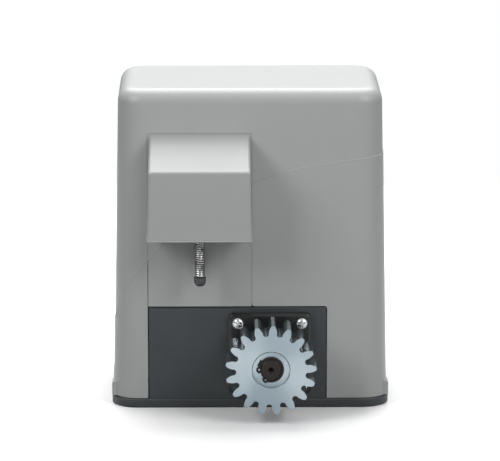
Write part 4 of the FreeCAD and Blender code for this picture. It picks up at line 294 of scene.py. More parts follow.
        # soft clouds a few centimetres wide keep a large face from looking printed
        clouds = add(tree, "ShaderNodeTexNoise", {"Vector": place, "Scale": noise_scale(CLOUDS), "Detail": 3.0})
        mixed = add(tree, "ShaderNodeMath", {0: crest, 1: clouds.outputs["Fac"]}, operation="ADD")
        share = add(tree, "ShaderNodeMapRange", {"Value": mixed.outputs[0], "From Min": 0.7, "From Max": 1.3,
                                                  "To Min": 0.0, "To Max": self.blend})
        colour = add(tree, "ShaderNodeMix", {0: share.outputs[0], 6: linear(self.colour), 7: linear(self.shade)},
                     data_type="RGBA")
        if self.flank:
            colour = add(tree, "ShaderNodeMix", {0: self.faces_axis(tree), 6: linear(self.flank),
                                                 7: colour.outputs[2]}, data_type="RGBA")
        tree.links.new(colour.outputs[2], shader.inputs["Base Color"])
        rough = add(tree, "ShaderNodeMapRange", {"Value": mixed.outputs[0], "From Min": 0.5, "From Max": 1.5,
                                                  "To Min": max(0.02, self.roughness - self.spread),
                                                  "To Max": self.roughness + self.spread})
        if self.flank:
            # the hob leaves the flanks smoother than the lathe leaves the faces
            rough = add(tree, "ShaderNodeMix", {0: self.faces_axis(tree), 2: self.roughness * FLANK_ROUGHNESS,
                                                3: rough.outputs[0]})
        tree.links.new(rough.outputs[0], shader.inputs["Roughness"])
        if self.brushed:
            around = add(tree, "ShaderNodeTangent", direction_type="RADIAL", axis=self.along)
            tree.links.new(around.outputs[0], shader.inputs["Tangent"])
            shader.inputs["Anisotropic"].default_value = self.brushed
        bump = add(tree, "ShaderNodeBump", {"Height": crest, "Strength": 1.0, "Distance": self.relief * MM})
        tree.links.new(bump.outputs[0], shader.inputs["Normal"])
        for name, value in (("Metallic", self.metallic), ("IOR", self.ior), ("Coat Weight", self.coat),
                            ("Transmission Weight", self.clear)):
            shader.inputs[name].default_value = value
        return made


# ABS from a spark-eroded tool: a soft satin grey whose grain only breaks up the highlights.
# The grain is really about 0.1 mm and is drawn at 1.1 mm so that it shows.
COVER_ABS = Finish("ABS", "#A6A8A7", "#9EA09F", pitch=1.1, relief=0.012, roughness=0.42, spread=0.04, blend=0.35)
# the hood comes from another tool in the same stock, a little cooler and smoother
HOOD_ABS = Finish("ABS cool", "#A5A7A7", "#9D9F9F", pitch=1.0, relief=0.01, roughness=0.4, spread=0.04, blend=0.3)
# aluminium die casting under a textured polyester powder coat, cool charcoal
POWDER_COAT = Finish("powder coat", "#2F3437", "#272C2F", Surface.CAST, pitch=1.2, relief=0.03, roughness=0.5,
                     blend=0.6)
# black enamel over a machined flange: deep, with a broad sheen
BLACK_ENAMEL = Finish("black enamel", "#0C0E0F", "#080909", Surface.CAST, pitch=2.5, relief=0.012, roughness=0.42,
                      spread=0.08, blend=0.5)
# zinc plated and blue passivated steel: pale and cool, with the lathe's rings and two fans of painted sheen on its
# faces and the hob's marks along its smoother, evenly grey flanks. The rings are 0.1 mm apart and drawn at 0.5.
BLUE_ZINC = Finish("blue zinc", "#A8B4BA", "#8B99A2", Surface.FACED, pitch=0.5, relief=0.018, roughness=0.34,
                   spread=0.06, metallic=0.9, along="Y", about=SHAFT, blend=1.0,
                   flank="#A0ABB0", brushed=0.75)
# oiled black oxide on the shaft, its key and the circlip
BLACK_OXIDE = Finish("black oxide", "#241F1C", "#161412", Surface.TURNED, pitch=0.9, relief=0.015, roughness=0.38,
                     metallic=0.6, along="Y", about=SHAFT)
# phosphor bronze rim of the worm wheel, turned then hobbed
WHEEL_BRONZE = Finish("phosphor bronze", "#B98A4C", "#8E6330", Surface.TURNED, pitch=1.2, relief=0.02, roughness=0.34,
                      metallic=1.0, along="Y", about=SHAFT)
# ground tool steel with long scratches
GROUND_STEEL = Finish("ground steel", "#A9ABAD", "#7F8285", Surface.GROUND, pitch=0.8, relief=0.01, roughness=0.28,
                      metallic=1.0, along="Y")
GROUND_SHAFT = replace(GROUND_STEEL, name="ground shaft steel", along="Z")
# polished bearing steel, turned rings on the shields
BEARING_STEEL = Finish("bearing steel", "#B5B7BA", "#8D9093", Surface.TURNED, pitch=2.2, relief=0.03, roughness=0.22,
                       metallic=1.0, along="Z", about=(56.5, -17.0, 0.0))
# bare gravity-cast aluminium, grey and slightly sparkling
CAST_ALUMINIUM = Finish("cast aluminium", "#A8AAAA", "#848787", Surface.CAST, pitch=1.4, relief=0.05, roughness=0.5,
                        metallic=0.9)
# dynamo sheet, punched and stacked, under thin varnish: 0.5 mm sheets drawn at 2 mm so that they show
LAMINATIONS = Finish("dynamo sheet", "#5C5F63", "#34373A", Surface.LAMINATED, pitch=2.0, relief=0.12, roughness=0.42,
                     metallic=0.8, blend=0.8)
# enamelled copper wire, laid round
WINDING_WIRE = Finish("enamelled copper", "#9A4A22", "#5E2A12", Surface.WRAPPED, pitch=1.6, relief=0.2, roughness=0.3,
                      metallic=0.7, coat=0.4)
# bright zinc on screws and stamped brackets
BRIGHT_ZINC = Finish("bright zinc", "#C9CBCC", "#A4A7A9", Surface.PLATED, pitch=4.0, relief=0.006, roughness=0.24,
                     metallic=1.0)
ZINC_SHEET = Finish("galvanised sheet", "#B7BABC", "#969A9D", Surface.PLATED, pitch=9.0, relief=0.01, roughness=0.34,
                    metallic=1.0, blend=0.8)
# hard drawn spring wire, bright and slightly oily
SPRING_WIRE = Finish("spring wire", "#9C9C9B", "#6F6F6E", Surface.GROUND, pitch=0.7, relief=0.004, roughness=0.24,
                     metallic=1.0)
# glass-filled nylon, near black, with the dull skin of the filler
NYLON = Finish("filled nylon", "#232527", "#17191A", pitch=1.0, relief=0.02, roughness=0.52)
# cap of the limit spring, softer and greyer than the nylon
CAP_NYLON = replace(NYLON, name="soft nylon", colour="#3A3C3E", shade="#2B2D2F", roughness=0.45)
# red polypropylene release knob, slightly waxy
KNOB_RED = Finish("red polypropylene", "#A3201B", "#871512", pitch=1.4, relief=0.02, roughness=0.36, ior=1.49)
# nickel plated brass lock barrel, faced in the lathe
NICKEL = Finish("nickel", "#C2BDB2", "#9C968A", Surface.TURNED, pitch=0.8, relief=0.008, roughness=0.2, metallic=1.0,
                along="Y", about=SHAFT)
# nitrile rubber, matt, with a faint bloom
RUBBER = Finish("nitrile rubber", "#1B1B1C", "#262627", pitch=1.8, relief=0.03, roughness=0.68, spread=0.06)
# compressed fibre sheet, buff and matt
FIBRE = Finish("fibre sheet", "#8B7B5E", "#6F6148", Surface.PLATED, pitch=0.9, relief=0.02, roughness=0.8)
# microswitch and button cases: glossy phenolic
PHENOLIC = Finish("phenolic", "#1A1A1B", "#101011", pitch=1.6, relief=0.008, roughness=0.28)
# glass-epoxy board with green mask over its tracks, which stand 0.035 mm proud
SOLDER_MASK = Finish("solder mask", "#0F5A2C", "#1B7A3E", Surface.MASKED, pitch=2.4, relief=0.05, roughness=0.25,
                     spread=0.05, coat=0.2, blend=1.0)
TERMINAL_GREEN = Finish("polyamide green", "#2F8B3F", "#256F33", pitch=1.2, relief=0.01, roughness=0.36)
RELAY_BLUE = Finish("relay case", "#1E3F86", "#19356F", pitch=2.0, relief=0.006, roughness=0.26)
SLEEVE = Finish("shrink sleeve", "#1E2234", "#15182A", Surface.PLAIN, pitch=5.0, relief=0.004, roughness=0.2, coat=0.3)
FUSE_GLASS = Finish("fuse glass", "#DDE3E4", "#CFD8DA", Surface.PLAIN, pitch=8.0, relief=0.0, roughness=0.06,
                    clear=0.7, spread=0.02)
COIL_TAPE = Finish("polyester tape", "#C9A02E", "#A98322", Surface.WRAPPED, pitch=9.0, relief=0.12, roughness=0.3)
CAPACITOR_CAN = Finish("capacitor case", "#D6D4CD", "#CAC8C0", pitch=1.5, relief=0.01, roughness=0.38)
# tinned leads and cans, slightly dull
TINNED = Finish("tinned lead", "#B9BBBB", "#9A9C9C", Surface.PLATED, pitch=2.0, relief=0.004, roughness=0.3,
                metallic=1.0)
GILT = Finish("gilt pin", "#C9A557", "#A98540", Surface.PLATED, pitch=2.0, relief=0.003, roughness=0.25, metallic=1.0)
# moulded epoxy of the chips: dull black, finely grained
EPOXY = Finish("moulded epoxy", "#1C1C1D", "#131314", pitch=0.8, relief=0.008, roughness=0.55)
# dipped and painted resistor bodies and bands
RESISTOR_BODY = Finish("resistor lacquer", "#B79A6B", "#A48758", Surface.PLAIN, pitch=2.0, relief=0.006, roughness=0.35)
BAND_BROWN = Finish("brown lacquer", "#5A3218", "#482711", Surface.PLAIN, pitch=1.5, relief=0.004, roughness=0.35)
BAND_RED = Finish("red lacquer", "#A5241C", "#8C1C15", Surface.PLAIN, pitch=1.5, relief=0.004, roughness=0.35)
# tinted epoxy lenses of the indicator lamps
LENS_RED = Finish("red lens epoxy", "#A92A1F", "#911F16", Surface.PLAIN, pitch=3.0, relief=0.003, roughness=0.15)
LENS_GREEN = Finish("green lens epoxy", "#3C9A3C", "#2F8130", Surface.PLAIN, pitch=3.0, relief=0.003, roughness=0.15)
# filled yellow box of the suppression capacitor
FILM_YELLOW = Finish("filled polyester", "#C9AE3A", "#B79C2E", pitch=1.2, relief=0.008, roughness=0.4)
BUTTON_WHITE = Finish("button acetal", "#E3E1DA", "#D6D4CC", pitch=1.2, relief=0.004, roughness=0.3)


def paint(node: str, finish: Finish) -> None:
    """Gives a CAD node its finish.

    Args:
        node: The node's name.
        finish: What it is made of.
    """
    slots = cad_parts[node].data.materials
    slots.clear()
    slots.append(finish.material())
    LOG.info("%s: %s", node, finish.name)


def finished(piece: bpy.types.Object, body: str, slot: str, *nodes: str) -> bpy.types.Object:
    """Ties a new piece to the body it rides on and hides the nodes it stands for.

    Args:
        piece: The piece, in place.
        body: Name of the body.
        slot: The record's material slot; not used.
        nodes: CAD nodes that the piece replaces.

    Returns:
        The same piece.
    """
    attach(piece, body)
    if nodes:
        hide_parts(*nodes)
    LOG.info("%s rides on %s, %d faces", piece.name, body, len(piece.data.polygons))
    return piece


@dataclass(frozen=True)
class Screw:
    """Where one CAD screw sits, measured on its solid.

    Attributes:
        seat: Middle of the head's underside, in metres.
        out: Unit vector from the shank to the head.
        head: Head diameter, in metres.
        tall: Head height, in metres.
        length: Shank length, in metres.
        shank: Shank diameter, in metres.
    """

    seat: Vector
    out: Vector
    head: float
    tall: float
    length: float
    shank: float


def welded(node: str) -> bmesh.types.BMesh:
    """Copies a CAD node's mesh and joins its doubled corners.

    Args:
        node: The node's name.

    Returns:
        The mesh, which the caller frees.
    """
    form = bmesh.new()
    form.from_mesh(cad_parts[node].data)
    bmesh.ops.remove_doubles(form, verts=form.verts, dist=WELD)
    return form


def solids_of(node: str) -> list[list[Vector]]:
    """Splits a CAD node's mesh into its separate solids.

    Args:
        node: The node's name.

    Returns:
        The corners of each solid, in the mesh's order.
    """
    form = welded(node)
    left, groups = set(form.verts), []
    # the corners are taken in the mesh's own order, so that every run numbers the solids alike
    for first in form.verts:
        if first not in left:
            continue
        left.remove(first)
        stack, group = [first], []
        while stack:
            corner = stack.pop()
            group.append(corner.co.copy())
            for edge in corner.link_edges:
                other = edge.other_vert(corner)
                if other in left:
                    left.remove(other)
                    stack.append(other)
        groups.append(group)
    form.free()
    return groups


def box_of(corners: Iterable[Vector]) -> tuple[Vector, Vector]:
    """Gives the lowest and highest corner of the box round some points."""
    return tuple(Vector([pick(values) for values in zip(*corners)]) for pick in (min, max))


def screws_of(node: str) -> list[Screw]:
    """Measures every screw of a CAD node.

    Args:
        node: The node's name.

    Returns:
        One entry for each solid.
    """
    found = []
    for corners in solids_of(node):
        low, high = box_of(corners)
        size = high - low
        along = min(range(3), key=lambda i: abs(size[(i + 1) % 3] - size[(i + 2) % 3]))
        middle = (low + high) / 2
        across = (along + 1) % 3
        head = size[across]
        wide = [c[along] for c in corners if abs(c[across] - middle[across]) > head * 0.46]
        out = Vector((0, 0, 0))
        out[along] = 1 if sum(wide) / len(wide) > middle[along] else -1
        end = (low if out[along] > 0 else high)[along]
        tip = [c for c in corners if abs(c[along] - end) < 1e-4]
        shank = 2 * max(abs(c[across] - middle[across]) for c in tip)
        tall = max(wide) - min(wide)
        seat = middle.copy()
        seat[along] = min(wide) if out[along] > 0 else max(wide)
        found.append(Screw(seat, out, head, tall, size[along] - tall, shank))
    return found


class Drive(Enum):
    """The recess in a screw's head."""

    CROSS = "cross recess"
    HEXAGON = "hexagon socket"
    SLOT = "slot"


class Form(Enum):
    """Outline of a small part."""

    BLOCK = "softened block"
    CAN = "can"
    BARREL = "lying barrel"
    DOME = "domed lens"


def new_tree(name: str, sizes: Iterable[str]) -> tuple[Tree, Node]:
    """Makes an empty Geometry Nodes tree with named sizes.

    Args:
        name: The tree's name.
        sizes: Names of its inputs, all lengths in metres or counts.

    Returns:
        The tree and its input node.
    """
    tree = bpy.data.node_groups.new(name, "GeometryNodeTree")
    sockets = [("Geometry", "Geometry"), *((size, "Float") for size in sizes), ("Material", "Material")]
    for title, kind in sockets:
        tree.interface.new_socket(title, in_out="INPUT", socket_type=f"NodeSocket{kind}")
    tree.interface.new_socket("Geometry", in_out="OUTPUT", socket_type="NodeSocketGeometry")
    return tree, tree.nodes.new("NodeGroupInput")


def close_tree(tree: Tree, given: Node, copy: Socket) -> None:
    """Sets a form on every point, turned by the point's own turn, and ends the tree.

    Args:
        tree: The tree.
        given: Its input node.
        copy: The geometry that is repeated.
    """
    turn = add(tree, "GeometryNodeInputNamedAttribute", {"Name": "turn"}, data_type="FLOAT_VECTOR")
    spun = add(tree, "FunctionNodeEulerToRotation", {"Euler": turn.outputs["Attribute"]})
    laid = add(tree, "GeometryNodeInstanceOnPoints",
               {"Points": given.outputs["Geometry"], "Instance": copy, "Rotation": spun.outputs["Rotation"]})
    end_tree(tree, given, laid.outputs["Instances"])


def end_tree(tree: Tree, given: Node, form: Socket) -> None:
    """Makes the tree's copies real, gives them the material and ends the tree.

    Args:
        tree: The tree.
        given: Its input node.
        form: The finished geometry.
    """
    real = add(tree, "GeometryNodeRealizeInstances", {"Geometry": form})
    dressed = add(tree, "GeometryNodeSetMaterial",
                  {"Geometry": real.outputs["Geometry"], "Material": given.outputs["Material"]})
    add(tree, "NodeGroupOutput", {"Geometry": dressed.outputs["Geometry"]})


def times(tree: Tree, socket: Socket, factor: float) -> Socket:
    """Adds a node that multiplies a size by a number and gives its output."""
    return add(tree, "ShaderNodeMath", {0: socket, 1: factor}, operation="MULTIPLY").outputs[0]


def vector(tree: Tree, x: object, y: object, z: object) -> Socket:
    """Adds a node that joins three sizes into a vector and gives its output."""
    return add(tree, "ShaderNodeCombineXYZ", {"X": x, "Y": y, "Z": z}).outputs[0]


def less(tree: Tree, socket: Socket, amount: Socket) -> Socket:
    """Adds nodes that take an amount off both ends of a size and gives what is left."""
    return add(tree, "ShaderNodeMath", {0: socket, 1: times(tree, amount, 2.0)}, operation="SUBTRACT").outputs[0]


def solid(tree: Tree, kind: str, sides: int = 0, size: Triple | Socket = (1, 1, 1), height: float | Socket = 0,
          turn: Triple = (0, 0, 0)) -> Socket:
    """Adds a plain solid one unit across, then scales, turns and raises it.

    Args:
        tree: The tree.
        kind: "Cube", "Cylinder" or "UVSphere".
        sides: Sides of a cylinder, or segments of a sphere.
        size: Its size along X, Y and Z.
        height: Height of its middle.
        turn: Its turn, in radians.

    Returns:
        The solid.
    """
    shape = {"Cube": {}, "Cylinder": {"Vertices": sides, "Radius": 0.5, "Depth": 1.0},
             "UVSphere": {"Segments": sides, "Rings": sides // 2, "Radius": 0.5}}[kind]
    unit = add(tree, "GeometryNodeMesh" + kind, shape)
    place = vector(tree, 0, 0, height)
    return add(tree, "GeometryNodeTransform", {"Geometry": unit.outputs["Mesh"], "Translation": place,
                                               "Rotation": turn, "Scale": size}).outputs["Geometry"]


def join(tree: Tree, forms: Iterable[Socket]) -> Socket:
    """Adds a node that puts some forms in one geometry.

    Args:
        tree: The tree.
        forms: The forms.

    Returns:
        The geometry.
    """
    whole = add(tree, "GeometryNodeJoinGeometry")
    for form in forms:
        tree.links.new(form, whole.inputs["Geometry"])
    return whole.outputs["Geometry"]


def combine(tree: Tree, forms: Iterable[Socket], cut_from: Socket | None = None) -> Socket:
    """Adds the union of some solids, or cuts them from another.

    Args:
        tree: The tree.
        forms: The solids.
        cut_from: What they are cut from, or None for their union.

    Returns:
        The result.
    """
    whole = add(tree, "GeometryNodeMeshBoolean", {"Mesh 1": cut_from} if cut_from else {},
                operation="DIFFERENCE" if cut_from else "UNION", solver="EXACT")
    for form in forms:
        tree.links.new(form, whole.inputs["Mesh 2"])
    return whole.outputs["Mesh"]


def helix(tree: Tree, radius: Socket, turns: Socket, height: Socket, wire: Socket, steps: int, sides: int) -> Socket:
    """Adds a wire that climbs round Z.

    Args:
        tree: The tree.
        radius: Radius of its middle line.
        turns: Number of turns.
        height: Its rise.
        wire: Radius of the wire.
        steps: Points in a turn.
        sides: Sides of the wire.

    Returns:
        The wire.
    """
    line = add(tree, "GeometryNodeCurveSpiral", {"Resolution": steps, "Rotations": turns, "Start Radius": radius,
                                                 "End Radius": radius, "Height": height})
    return sweep(tree, line.outputs["Curve"], wire, sides)


def sweep(tree: Tree, line: Socket, radius: Socket, sides: int) -> Socket:
    """Adds a round bar along a line.

    Args:
        tree: The tree.
        line: The line.
        radius: Radius of the bar.
        sides: Its sides.

    Returns:
        The bar, with closed ends.
    """
    ring = add(tree, "GeometryNodeCurvePrimitiveCircle", {"Resolution": sides, "Radius": radius})
    return add(tree, "GeometryNodeCurveToMesh", {"Curve": line, "Profile Curve": ring.outputs["Curve"],
                                                 "Fill Caps": True}).outputs["Mesh"]


@cache
def screw_tree(drive: Drive) -> Tree:
    """Builds the tree that sets a pan-head screw on every point.

    Args:
        drive: The recess in the head.

    Returns:
        The tree.
    """
    tree, given = new_tree(f"Screws with {drive.value}", SCREW_SIZES)
    wide, tall, thick, long = (given.outputs[name] for name in SCREW_SIZES)
    # the head is made one unit wide and tall, then scaled
    dome = combine(tree, [solid(tree, "UVSphere", 32, (1, 1, 2)), solid(tree, "Cylinder", 32, (1, 1, 0.5), 0.25)])
    cutters = {Drive.CROSS: [("Cube", 0, (0.62, 0.17, 1.4)), ("Cube", 0, (0.17, 0.62, 1.4))],
               Drive.SLOT: [("Cube", 0, (1.2, 0.2, 1))],
               Drive.HEXAGON: [("Cylinder", 6, (0.58, 0.58, 1.1))]}[drive]
    below = solid(tree, "Cube", 0, (1.2, 1.2, 1), -0.5)
    head = combine(tree, [below, *(solid(tree, kind, sides, size, 1) for kind, sides, size in cutters)], dome)
    sized = add(tree, "GeometryNodeTransform", {"Geometry": head, "Scale": vector(tree, wide, wide, tall)})
    stem = solid(tree, "Cylinder", 20, vector(tree, thick, thick, long), times(tree, long, -0.5))
    close_tree(tree, given, join(tree, [sized.outputs["Geometry"], stem]))
    return tree


@cache
def coil_tree() -> Tree:
    """Builds the tree that sets a wire coil on every point, rising along the point's own Z.

    Returns:
        The tree.
    """
    tree, given = new_tree("Coils", ("Coil Radius", "Wire Radius", "Turns", "Height"))
    radius, wire, turns, height = list(given.outputs)[1:5]
    close_tree(tree, given, helix(tree, radius, turns, height, wire, 28, 10))
    return tree


@cache
def bit_tree(form: Form) -> Tree:
    """Builds the tree that stands a small convex part on every point, along the point's own Z.

    Args:
        form: Outline of the part.

    Returns:
        The tree.
    """
    tree, given = new_tree(f"Small parts, {form.value}", BIT_SIZES)
    wide, deep, tall, edge = (given.outputs[name] for name in BIT_SIZES)
    slim, short, low = (less(tree, size, edge) for size in (wide, deep, tall))
    half = times(tree, wide if form is Form.BARREL else tall, 0.5)
    if form is Form.BLOCK:
        solids = [solid(tree, "Cube", 0, vector(tree, *size), half)
                  for size in ((wide, short, low), (slim, deep, low), (slim, short, tall))]
    elif form is Form.DOME:
        top = add(tree, "ShaderNodeMath", {0: tall, 1: times(tree, wide, 0.5)}, operation="SUBTRACT")
        solids = [solid(tree, "UVSphere", 16, vector(tree, wide, wide, wide), top.outputs[0]),
                  solid(tree, "Cylinder", 16, vector(tree, wide, wide, edge), times(tree, tall, 0.02))]
    else:
        lying = form is Form.BARREL
        turn = (math.pi / 2 if lying else 0, 0, 0)
        solids = [solid(tree, "Cylinder", 20, vector(tree, across, across, along), half, turn)
                  for across, along in ((wide, short if lying else low), (slim, deep if lying else tall))]
    hull = add(tree, "GeometryNodeConvexHull", {"Geometry": join(tree, solids)})
    close_tree(tree, given, hull.outputs["Convex Hull"])
    return tree


def grub_tree() -> Tree:
    """Builds the tree that sets a threaded grub screw with a hexagon socket on every point.

    Returns:
        The tree.
    """
    tree, given = new_tree("Grub screws", ("Core Radius", "Thread Depth", "Length", "Turns", "Socket Radius"))
    core, crest, long, turns, socket = list(given.outputs)[1:6]
    width, across = times(tree, core, 2), times(tree, socket, 2)
    stem = solid(tree, "Cylinder", 32, vector(tree, width, width, long))
    key = solid(tree, "Cylinder", 6, vector(tree, across, across, times(tree, long, 0.4)), times(tree, long, 0.5))
    thread = add(tree, "GeometryNodeTransform",
                 {"Geometry": helix(tree, core, turns, times(tree, long, 0.94), crest, 24, 4),
                  "Translation": vector(tree, 0, 0, times(tree, long, -0.47))})
    close_tree(tree, given, join(tree, [combine(tree, [key], stem), thread.outputs["Geometry"]]))
    return tree


@cache
def bead_tree() -> Tree:
    """Builds the tree that lays a round bead along every edge it is given.

    Returns:
        The tree.
    """
    tree, given = new_tree("Beads", ("Radius",))
    line = add(tree, "GeometryNodeMeshToCurve", {"Mesh": given.outputs["Geometry"]})
    end_tree(tree, given, sweep(tree, line.outputs["Curve"], given.outputs["Radius"], 10))
    return tree


def grow(name: str, tree: Tree, sizes: dict[str, float], finish: Finish, points: Sequence[Vector],
         turns: Sequence[Vector], edges: Sequence[tuple[int, int]] = ()) -> bpy.types.Object:
    """Runs a Geometry Nodes tree and keeps its result as a plain mesh.

    Args:
        name: Name of the piece.
        tree: The tree.
        sizes: Its named inputs.
        finish: What the piece is made of.
        points: Where each copy goes.
        turns: Euler angles of each copy.
        edges: Pairs of points that a line joins.

    Returns:
        The piece, at the origin.
    """
    seed = bpy.data.meshes.new(name + ".points")
    seed.from_pydata([tuple(p) for p in points], list(edges), [])
    seed.attributes.new("turn", "FLOAT_VECTOR", "POINT").data.foreach_set("vector", [c for t in turns for c in t])
    maker = bpy.data.objects.new(name + ".maker", seed)
    bpy.context.scene.collection.objects.link(maker)
    form = maker.modifiers.new("Form", "NODES")
    form.node_group = tree
    values = {**sizes, "Material": finish.material()}
    for item in tree.interface.items_tree:
        if item.in_out == "INPUT" and item.name in values:
            form[item.identifier] = values[item.name]
    mesh = bpy.data.meshes.new_from_object(maker.evaluated_get(bpy.context.evaluated_depsgraph_get()))
    bpy.data.objects.remove(maker)
    mesh.name = name
    mesh.polygons.foreach_set("use_smooth", [True] * len(mesh.polygons))
    mesh.set_sharp_from_angle(angle=SHARP)
    piece = bpy.data.objects.new(name, mesh)
    bpy.context.scene.collection.objects.link(piece)
    return piece


def facing(out: Vector, spin: float = 0.0) -> Vector:
    """Gives the Euler angles that turn +Z to a direction.

    Args:
        out: The direction.
        spin: A turn about the direction itself, in radians.

    Returns:
        The angles, in radians.
    """
    return Vector((out.to_track_quat("Z", "Y").to_matrix() @ Matrix.Rotation(spin, 3, "Z")).to_euler())


@dataclass
class ScrewSet:
    """Screws of one CAD node, with their recesses.

    Attributes:
        node: The CAD node.
        drive: Their recess.
        finish: What they are made of.
        slot: The record's material slot.
        spins: How far each screw is done up, in radians, over and over.
    """

    node: str
    drive: Drive = Drive.CROSS
    finish: Finish = BRIGHT_ZINC
    slot: str = "zinc_screw"
    spins: tuple[float, ...] = (0.3, 1.1, 0.75, 0.1, 1.35, 0.5, 0.9)

    def build(self) -> None:
        """Makes the screws in groups of one size and stands them for the node."""
        groups: dict[tuple[float, ...], list[Screw]] = {}
        for screw in screws_of(self.node):
            size = tuple(round(v, 4) for v in (screw.head, screw.tall, screw.shank, screw.length))
            groups.setdefault(size, []).append(screw)
        for number, (size, screws) in enumerate(groups.items()):
            turns = [facing(s.out, self.spins[i % len(self.spins)]) for i, s in enumerate(screws)]
            piece = grow(f"{self.node}.{number}", screw_tree(self.drive), dict(zip(SCREW_SIZES, size)), self.finish,
                         [s.seat for s in screws], turns)
            finished(piece, "root", self.slot, *([self.node] if number == 0 else []))


@dataclass
class Assembly:
    """A sub-assembly whose solids keep their shape.

    Attributes:
        finishes: What each CAD node is made of.
    """

    finishes: dict[str, Finish] = field(default_factory=dict)

    def build(self) -> None:
        """Dresses the solids."""
        for node, finish in self.finishes.items():
            paint(node, finish)


@dataclass
class Housing(Assembly):
    """Cover, hood and base. Lengths are millimetres, and heights and depths are places in the object's frame.

    Attributes:
        bead: Radius of the round that the tool leaves in a crease of the shells.
        crease: Lowest and highest height at which a crease gets it.
        bend: Least turn of a crease, in degrees.
        lip: Radius of the round on the hood's lower edge.
        lip_height: Height of that edge.
        level: How far a corner may stray from that height.
        rim: How far the hood's rim strays from its box.
        wall: Where the overhang leaves the front wall, along Y.
        seam: Radius of the hood's rib that closes the seam round it.
        gap: Width of that seam.
        beside: How far past the hood's sides the rib may lie.
        right_foot: Height of the rib's foot on the right; on the left it is the lip's.
        behind: How deep the rib may lie behind the cover's front.
        sink: How far the rib lies behind the face, as a share of its distance from the wall.
        pitch: Thread pitch of the levelling screws.
        crest: Height of their thread.
        socket: Radius of their sockets.
        step: Turn from one of them to the next, in radians.
    """

    bead: float = 0.65
    crease: tuple[float, float] = (60.0, 225.0)
    bend: float = 15.0
    lip: float = 0.55
    lip_height: float = 153.0
    level: float = 0.3
    rim: float = 2.5
    wall: float = -84.0
    seam: float = 0.33
    gap: float = 0.8
    beside: float = 3.0
    right_foot: float = 110.0
    behind: float = 22.0
    sink: float = 1.2
    pitch: float = 1.25
    crest: float = 0.65
    socket: float = 2.3
    step: float = 0.4
    finishes: dict[str, Finish] = field(default_factory=lambda: {
        "cover": COVER_ABS, "limit_hood": HOOD_ABS, "base_housing": POWDER_COAT, "cable_grommet": RUBBER})

    def build(self) -> None:
        """Dresses the outer shells, rounds their creases and threads the levelling screws."""
        super().build()
        hood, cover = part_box("limit_hood"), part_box("cover")
        self.lay_bead("cover.crease", "cover", "cover", "cover_plastic", self.bead, self.is_crease)
        self.lay_bead("limit_hood.crease", "limit_hood", "root", "hood_plastic", self.bead, self.is_crease)
        self.lay_bead("limit_hood.lip", "limit_hood", "root", "hood_plastic", self.lip,
                      lambda edge: self.is_lip(edge, *hood))
        self.lay_bead("limit_hood.rib", "cover", "root", "hood_plastic", self.seam,
                      lambda edge: self.is_seam(edge, *hood, cover[0].y), self.gap / 2)
        self.thread_screws()

    def is_crease(self, edge: Edge) -> bool:
        """Tells whether an edge is an inner corner beside one of the shoulders.

        Args:
            edge: The edge.

        Returns:
            True for such an edge.
        """
        height = (edge.verts[0].co.z + edge.verts[1].co.z) / 2 / MM
        if edge.is_convex or edge.calc_face_angle(0.0) < math.radians(self.bend):
            return False
        shoulder = any(f.normal.z > 0.2 and abs(f.normal.y) < 0.1 for f in edge.link_faces)
        return shoulder and self.crease[0] < height < self.crease[1]

    def is_lip(self, edge: Edge, low: Vector, high: Vector) -> bool:
        """Tells whether an edge lies on the outer rim of the hood's overhang.

        Args:
            edge: The edge.
            low: Lowest corner of the hood's box.
            high: Highest corner of the hood's box.

        Returns:
            True for such an edge.
        """
        spot = (edge.verts[0].co + edge.verts[1].co) / 2
        outer = min(abs(spot.x - low.x), abs(spot.x - high.x), abs(spot.y - low.y)) < self.rim * MM
        level = all(abs(v.co.z - self.lip_height * MM) < self.level * MM for v in edge.verts)
        return edge.is_convex and level and outer and spot.y < self.wall * MM

    def is_seam(self, edge: Edge, low: Vector, high: Vector, face: float) -> bool:
        """Tells whether an edge is on the outer corner of the cover's opening, where the hood lies closest.

        Args:
            edge: The edge.
            low: Lowest corner of the hood's box.
            high: Highest corner of the hood's box.
            face: Where the cover's front lies along Y, in metres.

        Returns:
            True for such an edge.
        """
        spot = (edge.verts[0].co + edge.verts[1].co) / 2
        front = any(f.normal.y < -0.8 for f in edge.link_faces)
        inner = any(abs(f.normal.y) < 0.3 for f in edge.link_faces)
        near = low.x - self.beside * MM < spot.x < high.x + self.beside * MM
        upper = spot.z > (self.lip_height if spot.x < (low.x + high.x) / 2 else self.right_foot) * MM
        return edge.is_convex and front and inner and near and upper and spot.y < face + self.behind * MM

    def lay_bead(self, name: str, node: str, body: str, slot: str, radius: float, wanted: Callable[[Edge], bool],
                 off: float = 0.0) -> None:
        """Lays a bead along the wanted edges of a shell.

        Args:
            name: Name of the piece.
            node: The shell's CAD node.
            body: Body that the bead rides on.
            slot: The record's material slot.
            radius: Radius of the bead, in millimetres.
            wanted: Tells which edges get it.
            off: How far it stands off the side walls, in millimetres.
        """
        form = welded(node)
        form.normal_update()
        lines = [e for e in form.edges if len(e.link_faces) == 2 and wanted(e)]
        corners = list({v: None for e in lines for v in e.verts})
        number = {v: i for i, v in enumerate(corners)}
        edges = [(number[e.verts[0]], number[e.verts[1]]) for e in lines]
        # the seed along Y only keeps a corner without side walls from having no direction
        sides = [sum((Vector((f.normal.x, 0, f.normal.z)) for e in v.link_edges if e in lines for f in e.link_faces
                      if abs(f.normal.y) < 0.3), Vector((0, 1e-6, 0))).normalized() for v in corners]
        points = [v.co + (side + Vector((0, self.sink, 0))) * off * MM for v, side in zip(corners, sides)]
        form.free()
        if edges:
            bead = grow(name, bead_tree(), {"Radius": radius * MM}, self.finishes[node], points,
                        [Vector((0, 0, 0))] * len(points), edges)
            finished(bead, body, slot)

